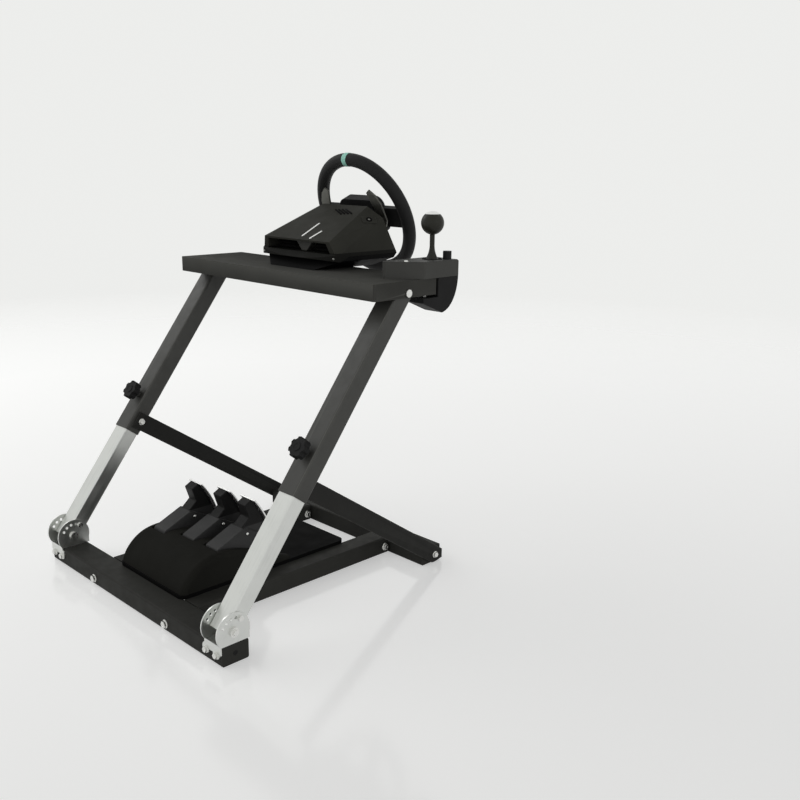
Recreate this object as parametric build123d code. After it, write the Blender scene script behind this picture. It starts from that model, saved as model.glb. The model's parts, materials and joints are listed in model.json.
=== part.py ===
from build123d import *
import os
from math import atan2, cos, degrees, radians, sin, sqrt

# Racing wheel stand with its wheel, gear shifter and pedal set, in millimetres.
# +X is the driver's right, +Y points away from the driver, +Z is up.
# The origin is on the floor, under the middle of the front cross tube.

# Floor frame
FRONT_OVERHANG = 26.0
CROSS_DEPTH = 60.0
TUBE_HEIGHT = 40.0
TUBE_WALL = 2.0
TUBE_CORNER = 4.0
CAP_FLANGE = 3.0
CAP_PLUG = 14.0
CAP_GAP = 0.3
RAIL_WIDTH = 50.0
RAIL_SPACING = 288.0
RAIL_LENGTH = 530.0
END_PLATE = 4.0

# Legs
LEG_SPACING = 624.0
LEG_ANGLE = 53.0
LEG_PIVOT_Y = 3.0
LEG_PIVOT_Z = 64.0
LEG_WIDTH = 50.0
LEG_DEPTH = 40.0
LEG_WALL = 2.0
LEG_CORNER = 5.0
SLIDE_GAP = 0.4
INNER_TAIL = 10.0
INNER_TOP = 450.0
OUTER_BOTTOM = 269.0
TABLE_PIN_AT = 733.0
SLIDE_TRAVEL_UP = 100.0

# Ratchet brackets
EAR_PLATE = 3.0
EAR_GAP = 0.4
EAR_RADIUS = 37.5
TAB_DROP = 26.0
TAB_LOBE = 11.0
TAB_BOLT_SPACING = 34.0
TAB_BOLT_INSET = 5.0
LOCK_RADIUS = 27.0
LOCK_HOLE = 6.2
LOCK_STEP = 24.0
LOCK_COUNT = 5
PIVOT_BOLT = 10.0
PIVOT_HEAD = 19.0
PIVOT_HEAD_HEIGHT = 5.0
LOCK_HEAD = 11.0
LOCK_HEAD_HEIGHT = 4.0
PIN_CLEARANCE = 0.05

# Clamp knobs
KNOB_AT = 356.0
KNOB_RADIUS = 21.5
KNOB_THICKNESS = 16.0
KNOB_LOBES = 7
KNOB_SCALLOP = 7.0
KNOB_NECK = 9.0
KNOB_NECK_HEIGHT = 6.0
KNOB_BOSS_RADIUS = 8.5
KNOB_BOSS_HEIGHT = 6.0
KNOB_STUD = 8.0
KNOB_SEAT_GAP = 0.5

# Struts
STRUT_DEPTH = 40.0
STRUT_THICKNESS = 6.0
STRUT_CORNER = 1.5
STRUT_SIDE_GAP = 0.5
STRUT_TOP_AT = 300.0
STRUT_PIN_FROM_REAR = 23.0
STRUT_PIN_Z = 20.0
STRUT_PIN = 12.0
STRUT_OVERRUN = 8.0
STRUT_TAIL = 1.0
STRUT_FLOOR_GAP = 2.0

# Table tray
TABLE_SIDE_GAP = 1.5
TABLE_DEPTH = 178.0
TABLE_RISE = 24.6
TABLE_FLANGE = 34.0
TABLE_SHEET = 2.5
TABLE_CORNER = 5.0
TABLE_FRONT_FROM_PIN = 91.5
TABLE_PIN = 10.0
TABLE_PIN_HEAD = 16.0
TABLE_PIN_HEAD_HEIGHT = 5.0

# Wheel base
WHEEL_X = -8.0
COLUMN_ANGLE = 23.8
FOOT_HEIGHT = 30.0
FOOT_SETBACK = 60.4
FOOT_REAR_INSET = 27.0
FOOT_HALF_WIDTH = 75.0
FOOT_TOP_HALF_WIDTH = 150.0
BASE_SETBACK = 83.4
BASE_LENGTH = 182.0
BASE_HALF_WIDTH = 126.0
NOSE_HALF_WIDTH = 112.0
NOSE_HEIGHT = 32.0
NOSE_REACH = 9.0
SHOULDER_HALF_WIDTH = 115.0
SHOULDER_HEIGHT = 78.0
ROOF_HALF_WIDTH = 76.0
ROOF_HEIGHT = 102.0
LIP_REACH = 15.0
LIP_BOW = 12.0
LIP_TIP_DROP = 7.0
LIP_TOP_RISE = 8.0
LIP_KEEL = 10.0
LIP_KEEL_DROP = 11.0
LIP_ROOT = 40.0
INTAKE_RISE = 5.0
INTAKE_HEIGHT = 23.0
INTAKE_DEPTH = 40.0
INTAKE_HALF_WIDTH = 100.0
INTAKE_SLOPE = 8.0
DIVIDER_TOP_HALF_WIDTH = 30.0
DIVIDER_HALF_WIDTH = 9.0
DIVIDER_SETBACK = 15.0

# Steering wheel
RIM_RADIUS = 136.0
RIM_TUBE = 15.0
RIM_GAP = 0.3
COLUMN_STANDOFF = 49.4
COLUMN_RISE = 63.7
SHAFT_RADIUS = 15.0
SHAFT_BURIED = 40.0
COLLAR_RADIUS = 34.0
COLLAR_LENGTH = 10.0
HUB_WIDTH = 126.0
HUB_HEIGHT = 88.0
HUB_BACK = 14.0
HUB_FRONT = 12.0
HUB_CORNER = 22.0
SPOKE_HEIGHT = 46.0
SPOKE_THICKNESS = 14.0
LOWER_SPOKE_WIDTH = 34.0

# Gear paddles
PADDLE_PIN_X = 46.0
PADDLE_PIN_RADIUS = 3.0
PADDLE_SHEET = 4.0
PADDLE_BACK = 31.0
PADDLE_WIDTH = 24.0
PADDLE_LUG = 12.0
PADDLE_END_GAP = 1.0

# Points of a paddle's blade, as (outward, upward) from its pin
PADDLE_FOOT_X = 50.0
PADDLE_HEEL = (60.0, 5.0)
PADDLE_SHOULDER = (56.0, 45.0)
PADDLE_CREST = (45.0, 66.0)
PADDLE_TIP = (29.0, 79.0)
PADDLE_INNER = (19.0, 72.0)
PADDLE_CROOK_X = 35.0

# Gear shifter
SHIFTER_FRONT = 97.6
SHIFTER_OVERHANG = 65.4
SHIFTER_WIDTH = 68.0
SHIFTER_OUTSIDE = 3.0
SHIFTER_CHAMFER = 58.0
SHIFTER_CORNER = 6.0
SHIFTER_HEIGHT = 35.0
SHIFTER_TOP_ROUND = 12.0
SHIFTER_PLATE = 3.0
SHIFTER_PLATE_FROM_REAR = 14.0
SHIFTER_FLOOR = 2.0
LEVER_FROM_SIDE = 33.0
LEVER_FROM_REAR = 51.0
LEVER_PIVOT_UP = 16.0
LEVER_BALL = 24.0
LEVER_CAVITY = 27.0
LEVER_HOLE_GAP = 1.0
LEVER_SIDE_SWING = 9.0
LEVER_BALL_FLAT = 6.0
LEVER_ARC_MIDDLE = 30.0
LEVER_ROOT = 12.5
LEVER_FLARE = 7.2
LEVER_FLARE_AT = 33.0
LEVER_NECK = 5.2
LEVER_STEM_AT = 46.0
LEVER_HEIGHT = 93.0
KNOB_BALL = 24.0
KNOB_FLAT = 19.0
GIMBAL_PIN = 3.0
GIMBAL_CUBE = 12.0
GIMBAL_GAP = 1.0
CLAMP_GAP = 1.4
CLAMP_WIDTH = 50.0
CLAMP_INSET = 1.0
JAW_REACH = 42.0
JAW_DROP = 40.0
JAW_TIP = 10.0
JAW_SCREW = 12.0
JAW_SCREW_REACH = 15.0
CLAMP_KNOB_RADIUS = 9.0
CLAMP_KNOB_HEIGHT = 17.0
CLAMP_KNOB_FROM_SIDE = 11.0
CLAMP_KNOB_FROM_REAR = 28.0

# Points of the clamp's outer curve, as (behind the tray's rear edge, below the tray's top)
CLAMP_CURVE = ((63.4, 0.0), (61.4, 17.0), (52.4, 44.0), (35.4, 65.0), (15.4, 74.0))

# Pedal set
PEDAL_PITCH = 82.0
PEDAL_STAGGERS = (0.0, 20.0, 25.0)
PEDAL_HALF_WIDTH = 125.0
PEDAL_OVERLAP = 9.0
PEDAL_PLATE_LENGTH = 439.0
PEDAL_PLATE = 8.0
PEDAL_PLATE_CORNER = 16.0
HOUSING_LENGTH = 279.0
HOUSING_REAR_HEIGHT = 6.0
HOUSING_SIDE_INSET = 1.0
HOUSING_EDGE = 12.0
PEDAL_PIVOT_BACK = 164.0
PEDAL_PIVOT_RISE = 22.0
PEDAL_ARM_WIDTH = 44.0
PEDAL_HEAD_WIDTH = 30.0
PEDAL_SIDE_GAP = 5.0
PEDAL_FRONT_GAP = 5.0
PEDAL_SLOT_FLOOR = 3.0
PEDAL_HUB = 15.0
PEDAL_HUB_LOW = -80.0
PEDAL_HUB_BACK = -190.0
PEDAL_PIN = 10.0
PEDAL_PIN_SEAT = 8.0
PEDAL_REACH = 95.7
PEDAL_WEDGE_LOW = 8.0
PEDAL_WEDGE_HIGH = 27.0
PEDAL_PAD_SHEET = 3.5
PEDAL_PAD_WIDTH = 52.0

# Points of a pedal's side view, as (y, z) from its pivot
PAD_TOP = (-8.0, 129.0)
PAD_MIDDLE = (-33.0, 92.0)
PAD_LOW = (-48.0, 56.0)
ARM_SHOULDER = (18.0, 73.0)
ARM_NECK = (-1.0, 90.0)
ARM_CREST = (9.0, 120.0)
ARM_HEEL = (-35.0, 46.0)

# Points of the pedal cover's side view, as (distance behind the base plate's front edge, height above it)
HUMP = ((3.0, 0.0), (9.0, 17.0), (27.0, 40.0), (53.0, 57.0), (90.0, 65.0), (150.0, 58.0))

# Places that follow from the sizes above
front_back_y = -CROSS_DEPTH / 2
rear_front_y = front_back_y - RAIL_LENGTH
rear_mid_y = rear_front_y - CROSS_DEPTH / 2
rear_back_y = rear_front_y - CROSS_DEPTH
leg_x = LEG_SPACING / 2
front_half_length = leg_x + FRONT_OVERHANG
leg_up = Vector(0, -cos(radians(LEG_ANGLE)), sin(radians(LEG_ANGLE)))
leg_front = Vector(0, sin(radians(LEG_ANGLE)), cos(radians(LEG_ANGLE)))
leg_pivot = Vector(0, LEG_PIVOT_Y, LEG_PIVOT_Z)
inner_width = LEG_WIDTH - 2 * LEG_WALL - 2 * SLIDE_GAP
inner_depth = LEG_DEPTH - 2 * LEG_WALL - 2 * SLIDE_GAP
table_pin = leg_pivot + leg_up * TABLE_PIN_AT
table_top = table_pin.Z + TABLE_RISE
table_half_length = leg_x + LEG_WIDTH / 2 + TABLE_SIDE_GAP + TABLE_SHEET
table_front_y = table_pin.Y + TABLE_FRONT_FROM_PIN
table_rear_y = table_front_y - TABLE_DEPTH
strut_outer_x = leg_x - LEG_WIDTH / 2 - STRUT_SIDE_GAP
strut_inner_x = strut_outer_x - STRUT_THICKNESS
strut_pin = Vector(0, rear_back_y + STRUT_PIN_FROM_REAR, STRUT_PIN_Z)
strut_top = leg_pivot + leg_up * STRUT_TOP_AT
strut_along = (strut_top - strut_pin).normalized()
strut_length = (strut_top - strut_pin).length
rear_half_length = strut_inner_x - STRUT_SIDE_GAP - END_PLATE
column_back = Vector(0, -cos(radians(COLUMN_ANGLE)), sin(radians(COLUMN_ANGLE)))
column_up = Vector(0, sin(radians(COLUMN_ANGLE)), cos(radians(COLUMN_ANGLE)))
base_floor = table_top + FOOT_HEIGHT
base_front_y = table_front_y - BASE_SETBACK
base_back_y = base_front_y - BASE_LENGTH
base_back = Vector(WHEEL_X, base_back_y, base_floor)
rim_centre = base_back + column_back * COLUMN_STANDOFF + column_up * COLUMN_RISE
wheel_plane = Plane(origin=rim_centre, x_dir=(1, 0, 0), z_dir=column_back)
shifter_outer_x = -table_half_length - SHIFTER_OUTSIDE
shifter_inner_x = shifter_outer_x + SHIFTER_WIDTH
shifter_front_y = table_rear_y + SHIFTER_FRONT
shifter_rear_y = table_rear_y - SHIFTER_OVERHANG
shifter_top = table_top + SHIFTER_HEIGHT
lever_pivot = Vector(
    shifter_outer_x + LEVER_FROM_SIDE, shifter_rear_y + LEVER_FROM_REAR, table_top + LEVER_PIVOT_UP
)
pedal_count = len(PEDAL_STAGGERS)
pedal_front_y = front_back_y + PEDAL_OVERLAP
housing_rear_y = pedal_front_y - HOUSING_LENGTH
pedal_plate_top = TUBE_HEIGHT + PEDAL_PLATE


def block(x0, x1, y0, y1, z0, z1):
    """A box between two corners."""
    return Pos((x0 + x1) / 2, (y0 + y1) / 2, (z0 + z1) / 2) * Box(abs(x1 - x0), abs(y1 - y0), abs(z1 - z0))


def side_slab(sketch, x0, x1):
    """A sketch drawn in (y, z), made into a slab from x0 to x1."""
    return extrude(Plane.YZ.offset(x0) * sketch, amount=x1 - x0)


def outline(*points):
    """A closed face through straight-sided points."""
    return make_face(Polyline(*points, close=True))


def polar(radius, angle):
    """A point at a radius and an angle in degrees."""
    return (radius * cos(radians(angle)), radius * sin(radians(angle)))


def tube(plane, width, depth, wall, corner, length):
    """A rounded rectangular tube that grows along the plane's normal."""
    hole = RectangleRounded(width - 2 * wall, depth - 2 * wall, corner - wall)
    return plane * extrude(RectangleRounded(width, depth, corner) - hole, amount=length)


def rod_x(radius, x0, x1, y, z):
    """A round rod along X."""
    start = Plane(origin=(x0, y, z), x_dir=(0, 1, 0), z_dir=(1, 0, 0))
    return start * extrude(Circle(radius), amount=x1 - x0)


def tube_cap(plane, width, depth, wall, corner):
    """An end cap: a flange that grows along the normal and a plug that goes the other way."""
    flange = extrude(RectangleRounded(width, depth, corner), amount=CAP_FLANGE)
    slack = 2 * wall + 2 * CAP_GAP
    plug = extrude(RectangleRounded(width - slack, depth - slack, corner - wall), amount=-CAP_PLUG)
    return plane * (flange + plug)


def cross_plane(x, y, direction):
    """The section plane of a cross tube, looking along +X or -X."""
    return Plane(origin=(x, y, TUBE_HEIGHT / 2), x_dir=(0, 1, 0), z_dir=(direction, 0, 0))


def front_tube():
    half = front_half_length - CAP_FLANGE
    return tube(cross_plane(-half, 0, 1), CROSS_DEPTH, TUBE_HEIGHT, TUBE_WALL, TUBE_CORNER, 2 * half)


def front_caps():
    half = front_half_length - CAP_FLANGE
    planes = [cross_plane(side * half, 0, side) for side in (-1, 1)]
    return [tube_cap(plane, CROSS_DEPTH, TUBE_HEIGHT, TUBE_WALL, TUBE_CORNER) for plane in planes]


def rail(side):
    plane = Plane(
        origin=(side * RAIL_SPACING / 2, front_back_y, TUBE_HEIGHT / 2), x_dir=(1, 0, 0), z_dir=(0, -1, 0)
    )
    return tube(plane, RAIL_WIDTH, TUBE_HEIGHT, TUBE_WALL, TUBE_CORNER, RAIL_LENGTH)


def rear_tube():
    plane = cross_plane(-rear_half_length, rear_mid_y, 1)
    return tube(plane, CROSS_DEPTH, TUBE_HEIGHT, TUBE_WALL, TUBE_CORNER, 2 * rear_half_length)


def rear_end_plates():
    """A plate welded over each end of the rear tube, with the pin that carries the strut."""
    plates = []
    for side in (-1, 1):
        plane = cross_plane(side * rear_half_length, rear_mid_y, side)
        plate = plane * extrude(RectangleRounded(CROSS_DEPTH, TUBE_HEIGHT, TUBE_CORNER), amount=END_PLATE)
        near = side * rear_half_length
        far = side * strut_outer_x
        pin = rod_x(STRUT_PIN / 2, near, far, strut_pin.Y, strut_pin.Z)
        plates.append(plate + pin)
    return plates


def leg_plane(side, at):
    """The section plane of a leg, at a distance along the leg from its pivot."""
    origin = Vector(side * leg_x, 0, 0) + leg_pivot + leg_up * at
    return Plane(origin=origin, x_dir=(1, 0, 0), z_dir=leg_up)


def lock_point(index):
    """A place on the ring of lock holes; index 0 lies on the leg's own line."""
    angle = radians(180 - LEG_ANGLE - index * LOCK_STEP)
    return leg_pivot + Vector(0, cos(angle), sin(angle)) * LOCK_RADIUS


def bolt_bore(radius, point):
    """A bore right through the stand along X, to be cut from what a bolt passes."""
    reach = leg_x + LEG_WIDTH
    return rod_x(radius + PIN_CLEARANCE, -reach, reach, point.Y, point.Z)


def ratchet_bracket(side):
    """Two disc-shaped ears on a base plate, with a bolted tab folded over the tube's front face."""
    ear_inner = inner_width / 2 + EAR_GAP
    front_y = CROSS_DEPTH / 2
    centre = side * leg_x
    ear = Pos(leg_pivot.Y, leg_pivot.Z) * Circle(EAR_RADIUS)
    foot_height = leg_pivot.Z - TUBE_HEIGHT
    foot = Pos(0, TUBE_HEIGHT + foot_height / 2) * Rectangle(CROSS_DEPTH + 2 * EAR_PLATE, foot_height)
    trim = Pos(0, TUBE_HEIGHT / 2) * Rectangle(4 * EAR_RADIUS, TUBE_HEIGHT)
    ear = ear + foot - trim
    body = block(
        centre - ear_inner, centre + ear_inner, -front_y, front_y, TUBE_HEIGHT, TUBE_HEIGHT + EAR_PLATE
    )
    for edge in (-1, 1):
        near = centre + edge * ear_inner
        body += side_slab(ear, min(near, near + edge * EAR_PLATE), max(near, near + edge * EAR_PLATE))
    outer = ear_inner + EAR_PLATE
    bolt_z = TUBE_HEIGHT - TAB_DROP + TAB_LOBE
    tab = block(
        centre - outer, centre + outer, front_y, front_y + EAR_PLATE, bolt_z, TUBE_HEIGHT + EAR_PLATE
    )
    face = Plane(origin=(0, front_y, 0), x_dir=(1, 0, 0), z_dir=(0, -1, 0))
    for step in (-1, 1):
        lobe = Pos(centre - side * TAB_BOLT_INSET + step * TAB_BOLT_SPACING / 2, bolt_z) * Circle(TAB_LOBE)
        tab += face * extrude(lobe, amount=-EAR_PLATE)
    body += tab
    body -= bolt_bore(PIVOT_BOLT / 2, leg_pivot)
    for index in range(LOCK_COUNT):
        body -= bolt_bore(LOCK_HOLE / 2, lock_point(index))
    return body


def headed_bolts(shank, head, head_height, point):
    """A bolt through each ratchet bracket, with a head at both outer faces."""
    bolts = []
    outer = inner_width / 2 + EAR_GAP + EAR_PLATE
    for side in (-1, 1):
        centre = side * leg_x
        bolt = rod_x(shank / 2, centre - outer - head_height, centre + outer + head_height, point.Y, point.Z)
        for edge in (-1, 1):
            near = centre + edge * outer
            bolt += rod_x(head / 2, near, near + edge * head_height, point.Y, point.Z)
        bolts.append(bolt)
    return bolts


def inner_leg(side):
    leg = tube(
        leg_plane(side, -INNER_TAIL), inner_width, inner_depth, LEG_WALL, LEG_CORNER - LEG_WALL,
        INNER_TOP + INNER_TAIL,
    )
    leg -= bolt_bore(PIVOT_BOLT / 2, leg_pivot)
    return leg - bolt_bore(LOCK_HOLE / 2, lock_point(0))


def outer_leg(side):
    """The black outer tube: a round top about the table pin and a threaded boss for its knob."""
    length = TABLE_PIN_AT - OUTER_BOTTOM
    leg = tube(leg_plane(side, OUTER_BOTTOM), LEG_WIDTH, LEG_DEPTH, LEG_WALL, LEG_CORNER, length)
    top = tube(leg_plane(side, TABLE_PIN_AT), LEG_WIDTH, LEG_DEPTH, LEG_WALL, LEG_CORNER, LEG_DEPTH / 2)
    near = side * leg_x
    leg += top & rod_x(LEG_DEPTH / 2, near - LEG_WIDTH, near + LEG_WIDTH, table_pin.Y, table_pin.Z)
    leg -= bolt_bore(TABLE_PIN / 2, table_pin)
    leg += knob_plane(side, LEG_DEPTH / 2) * extrude(Circle(KNOB_BOSS_RADIUS), amount=KNOB_BOSS_HEIGHT)
    drill = knob_plane(side, inner_depth / 2) * extrude(
        Circle(KNOB_STUD / 2 + PIN_CLEARANCE), amount=LEG_DEPTH
    )
    return leg - drill


def knob_plane(side, height):
    """A plane square to the knob's axis, at a height from the leg's middle line."""
    origin = Vector(side * leg_x, 0, 0) + leg_pivot + leg_up * KNOB_AT + leg_front * height
    return Plane(origin=origin, x_dir=(1, 0, 0), z_dir=leg_front)


def clamp_knob(side):
    """A star knob, its neck and the stud that presses on the inner leg."""
    neck_at = LEG_DEPTH / 2 + KNOB_BOSS_HEIGHT + KNOB_SEAT_GAP
    star_at = neck_at + KNOB_NECK_HEIGHT
    stud_end = inner_depth / 2 + SLIDE_GAP - PIN_CLEARANCE
    star = Circle(KNOB_RADIUS)
    scallop = Pos(KNOB_RADIUS + KNOB_SCALLOP / 2, 0) * Circle(KNOB_SCALLOP)
    for index in range(KNOB_LOBES):
        star -= Rot(0, 0, index * 360 / KNOB_LOBES) * scallop
    knob = knob_plane(side, star_at) * extrude(star, amount=KNOB_THICKNESS)
    knob += knob_plane(side, neck_at) * extrude(Circle(KNOB_NECK), amount=KNOB_NECK_HEIGHT)
    return knob + knob_plane(side, stud_end) * extrude(Circle(KNOB_STUD / 2), amount=star_at - stud_end)


def strut_plane(side, at):
    """The section plane of a strut, at a distance along it from its lower pin."""
    middle = side * (strut_inner_x + strut_outer_x) / 2
    origin = Vector(middle, 0, 0) + strut_pin + strut_along * at
    return Plane(origin=origin, x_dir=(1, 0, 0), z_dir=strut_along)


def strut(side):
    """A flat brace bar; its lower end is bored for the pin and trimmed clear of the floor."""
    start = -2 * STRUT_DEPTH
    section = RectangleRounded(STRUT_THICKNESS, STRUT_DEPTH, STRUT_CORNER)
    bar = strut_plane(side, start) * extrude(section, amount=strut_length + STRUT_OVERRUN - start)
    bar -= bolt_bore(STRUT_PIN / 2, strut_pin)
    swing = degrees(SLIDE_TRAVEL_UP / strut_length)
    reach = 2 * strut_outer_x
    deep = 10 * STRUT_DEPTH
    floor = block(-reach, reach, -deep, deep, -deep, STRUT_FLOOR_GAP - strut_pin.Z)
    behind = block(-reach, reach, -deep, rear_back_y - STRUT_TAIL - strut_pin.Y, -deep, deep)
    at_pin = Pos(strut_pin.X, strut_pin.Y, strut_pin.Z)
    bar -= at_pin * floor
    bar -= at_pin * Rot(-swing, 0, 0) * floor
    return bar - at_pin * behind


def table_tray():
    """One sheet with all four edges folded down."""
    length = 2 * table_half_length
    middle = Pos(0, (table_front_y + table_rear_y) / 2, table_top)
    outer = extrude(RectangleRounded(length, TABLE_DEPTH, TABLE_CORNER), amount=-TABLE_FLANGE)
    inner = extrude(
        RectangleRounded(
            length - 2 * TABLE_SHEET, TABLE_DEPTH - 2 * TABLE_SHEET, TABLE_CORNER - TABLE_SHEET
        ),
        amount=TABLE_SHEET - TABLE_FLANGE,
    )
    tray = middle * (outer - Pos(0, 0, -TABLE_SHEET) * inner)
    return tray - rod_x(
        TABLE_PIN / 2 + PIN_CLEARANCE, -table_half_length, table_half_length, table_pin.Y, table_pin.Z
    )


def table_pins():
    """The bolts that carry the tray at the tops of the legs."""
    pins = []
    for side in (-1, 1):
        face = side * table_half_length
        end = side * (leg_x - LEG_WIDTH / 2)
        pin = rod_x(TABLE_PIN / 2, min(face, end), max(face, end), table_pin.Y, table_pin.Z)
        head_end = face + side * TABLE_PIN_HEAD_HEIGHT
        pin += rod_x(TABLE_PIN_HEAD / 2, min(face, head_end), max(face, head_end), table_pin.Y, table_pin.Z)
        pins.append(pin)
    return pins


def base_point(x, y, height):
    """A corner of the wheel base, from its middle plane and its floor."""
    return Vector(WHEEL_X + x, y, base_floor + height)


def back_y(height):
    """Where the wheel base's back face is at a height; it stands square to the column."""
    return base_back_y + height * column_up.Y / column_up.Z


def faceted(corners):
    """One flat face through corner points."""
    return Face(Wire.make_polygon(corners, close=True))


def base_body():
    """The wheel base's facets: floor, front, back, roof, and on each side a flank and a shoulder."""
    low_front, low_back, nose, shoulder, roof = (
        [base_point(side * x, y, z) for side in (-1, 1)]
        for x, y, z in (
            (BASE_HALF_WIDTH, base_front_y, 0),
            (BASE_HALF_WIDTH, base_back_y, 0),
            (NOSE_HALF_WIDTH, base_front_y + NOSE_REACH, NOSE_HEIGHT),
            (SHOULDER_HALF_WIDTH, back_y(SHOULDER_HEIGHT), SHOULDER_HEIGHT),
            (ROOF_HALF_WIDTH, back_y(ROOF_HEIGHT), ROOF_HEIGHT),
        )
    )
    faces = [
        faceted([low_front[0], low_front[1], low_back[1], low_back[0]]),
        faceted([low_front[0], low_front[1], nose[1], nose[0]]),
        faceted([nose[0], nose[1], roof[1], roof[0]]),
        faceted([low_back[0], low_back[1], shoulder[1], roof[1], roof[0], shoulder[0]]),
    ]
    for i in (0, 1):
        faces.append(faceted([low_front[i], low_back[i], shoulder[i]]))
        faces.append(faceted([low_front[i], shoulder[i], nose[i]]))
        faces.append(faceted([nose[i], shoulder[i], roof[i]]))
    return Solid(Shell(faces))


def base_lip():
    """The jaw below the nose, which droops, reaches forward and is bowed in plan."""
    side = outline(
        (base_front_y - LIP_ROOT, base_floor),
        (base_front_y - LIP_KEEL, base_floor - LIP_KEEL_DROP),
        (base_front_y + LIP_REACH, base_floor - LIP_TIP_DROP),
        (base_front_y, base_floor + LIP_TOP_RISE),
        (base_front_y - LIP_ROOT, base_floor + LIP_TOP_RISE),
    )
    tip = base_front_y + LIP_REACH
    root = base_front_y - LIP_ROOT
    left = (WHEEL_X - BASE_HALF_WIDTH, tip - LIP_BOW)
    right = (WHEEL_X + BASE_HALF_WIDTH, tip - LIP_BOW)
    bow = make_face(
        [
            ThreePointArc(left, (WHEEL_X, tip), right),
            Polyline(right, (right[0], root), (left[0], root), left),
        ]
    )
    room = Pos(0, 0, base_floor) * extrude(bow, amount=2 * LIP_KEEL_DROP, both=True)
    return room & side_slab(side, left[0], right[0])


def intake_room():
    """The space of the nose intake, wider at its sill."""
    sill = base_floor + INTAKE_RISE
    front = outline(
        (WHEEL_X - INTAKE_HALF_WIDTH - INTAKE_SLOPE, sill),
        (WHEEL_X + INTAKE_HALF_WIDTH + INTAKE_SLOPE, sill),
        (WHEEL_X + INTAKE_HALF_WIDTH, sill + INTAKE_HEIGHT),
        (WHEEL_X - INTAKE_HALF_WIDTH, sill + INTAKE_HEIGHT),
    )
    face = Plane(origin=(0, base_front_y + LIP_REACH, 0), x_dir=(1, 0, 0), z_dir=(0, -1, 0))
    return face * extrude(front, amount=LIP_REACH + INTAKE_DEPTH)


def base_shell():
    """The wheel base: its facets and jaw, with the nose intake and the column's bore cut."""
    shell = base_body() + base_lip() - intake_room()
    bore = extrude(Circle(SHAFT_RADIUS + PIN_CLEARANCE), amount=-COLUMN_STANDOFF - SHAFT_BURIED)
    return shell - wheel_plane * bore


def base_divider():
    """The wedge that splits the nose intake in two."""
    sill = base_floor + INTAKE_RISE
    front = outline(
        (WHEEL_X - DIVIDER_HALF_WIDTH, sill),
        (WHEEL_X + DIVIDER_HALF_WIDTH, sill),
        (WHEEL_X + DIVIDER_TOP_HALF_WIDTH, sill + INTAKE_HEIGHT),
        (WHEEL_X - DIVIDER_TOP_HALF_WIDTH, sill + INTAKE_HEIGHT),
    )
    face = Plane(origin=(0, base_front_y - DIVIDER_SETBACK, 0), x_dir=(1, 0, 0), z_dir=(0, -1, 0))
    return face * extrude(front, amount=INTAKE_DEPTH - DIVIDER_SETBACK)


def base_foot():
    """The tapered foot between the tray and the wheel base."""
    side = outline(
        (table_front_y - FOOT_SETBACK, table_top),
        (base_front_y - LIP_KEEL, base_floor - LIP_KEEL_DROP),
        (base_front_y - LIP_ROOT, base_floor),
        (base_back_y, base_floor),
        (base_back_y + FOOT_REAR_INSET, table_top),
    )
    foot = side_slab(side, WHEEL_X - BASE_HALF_WIDTH, WHEEL_X + BASE_HALF_WIDTH)
    ends = outline(
        (WHEEL_X - FOOT_HALF_WIDTH, table_top),
        (WHEEL_X + FOOT_HALF_WIDTH, table_top),
        (WHEEL_X + FOOT_TOP_HALF_WIDTH, base_floor),
        (WHEEL_X - FOOT_TOP_HALF_WIDTH, base_floor),
    )
    return foot & extrude(Plane.XZ * ends, amount=-2 * base_back_y, both=True)


def column_collar():
    ring = Circle(COLLAR_RADIUS) - Circle(SHAFT_RADIUS + PIN_CLEARANCE)
    return wheel_plane * Pos(0, 0, -COLUMN_STANDOFF) * extrude(ring, amount=COLLAR_LENGTH)


def wheel_shaft():
    length = COLUMN_STANDOFF + SHAFT_BURIED - HUB_BACK
    return wheel_plane * Pos(0, 0, -HUB_BACK) * extrude(Circle(SHAFT_RADIUS), amount=-length)


def wheel_hub():
    """The button housing at the middle of the wheel."""
    hub = extrude(RectangleRounded(HUB_WIDTH, HUB_HEIGHT, HUB_CORNER), amount=HUB_FRONT)
    hub += extrude(RectangleRounded(HUB_WIDTH, HUB_HEIGHT, HUB_CORNER), amount=-HUB_BACK)
    return wheel_plane * hub


def wheel_rim():
    return wheel_plane * Torus(RIM_RADIUS, RIM_TUBE)


def rim_room():
    return Torus(RIM_RADIUS, RIM_TUBE + RIM_GAP)


def side_spokes():
    """The two flat spokes at three and nine o'clock."""
    spokes = []
    for side in (-1, 1):
        near = side * HUB_WIDTH / 2
        far = side * RIM_RADIUS
        spoke = block(
            min(near, far), max(near, far), -SPOKE_HEIGHT / 2, SPOKE_HEIGHT / 2,
            -SPOKE_THICKNESS / 2, SPOKE_THICKNESS / 2,
        )
        spokes.append(wheel_plane * (spoke - rim_room()))
    return spokes


def lower_spoke():
    spoke = block(
        -LOWER_SPOKE_WIDTH / 2, LOWER_SPOKE_WIDTH / 2, -RIM_RADIUS, -HUB_HEIGHT / 2,
        -SPOKE_THICKNESS / 2, SPOKE_THICKNESS / 2,
    )
    return wheel_plane * (spoke - rim_room())


def paddle_plane(side):
    """The hinge of a paddle: on the back of the hub, upright in the wheel's plane."""
    return wheel_plane * Pos(side * PADDLE_PIN_X, 0, -PADDLE_BACK)


def paddle_mounts():
    """A lug on the back of the hub for each paddle, with the pin that it turns on."""
    mounts = []
    for side in (-1, 1):
        lug_height = PADDLE_BACK - HUB_BACK + PADDLE_PIN_RADIUS
        mount = Rot(90, 0, 0) * Cylinder(PADDLE_PIN_RADIUS, PADDLE_WIDTH + PADDLE_LUG)
        for end in (-1, 1):
            middle = end * (PADDLE_WIDTH + PADDLE_LUG) / 2
            lug = Box(PADDLE_LUG, PADDLE_LUG, lug_height)
            mount += Pos(0, middle, lug_height / 2 - PADDLE_PIN_RADIUS) * lug
        mounts.append(paddle_plane(side) * mount)
    return mounts


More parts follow.
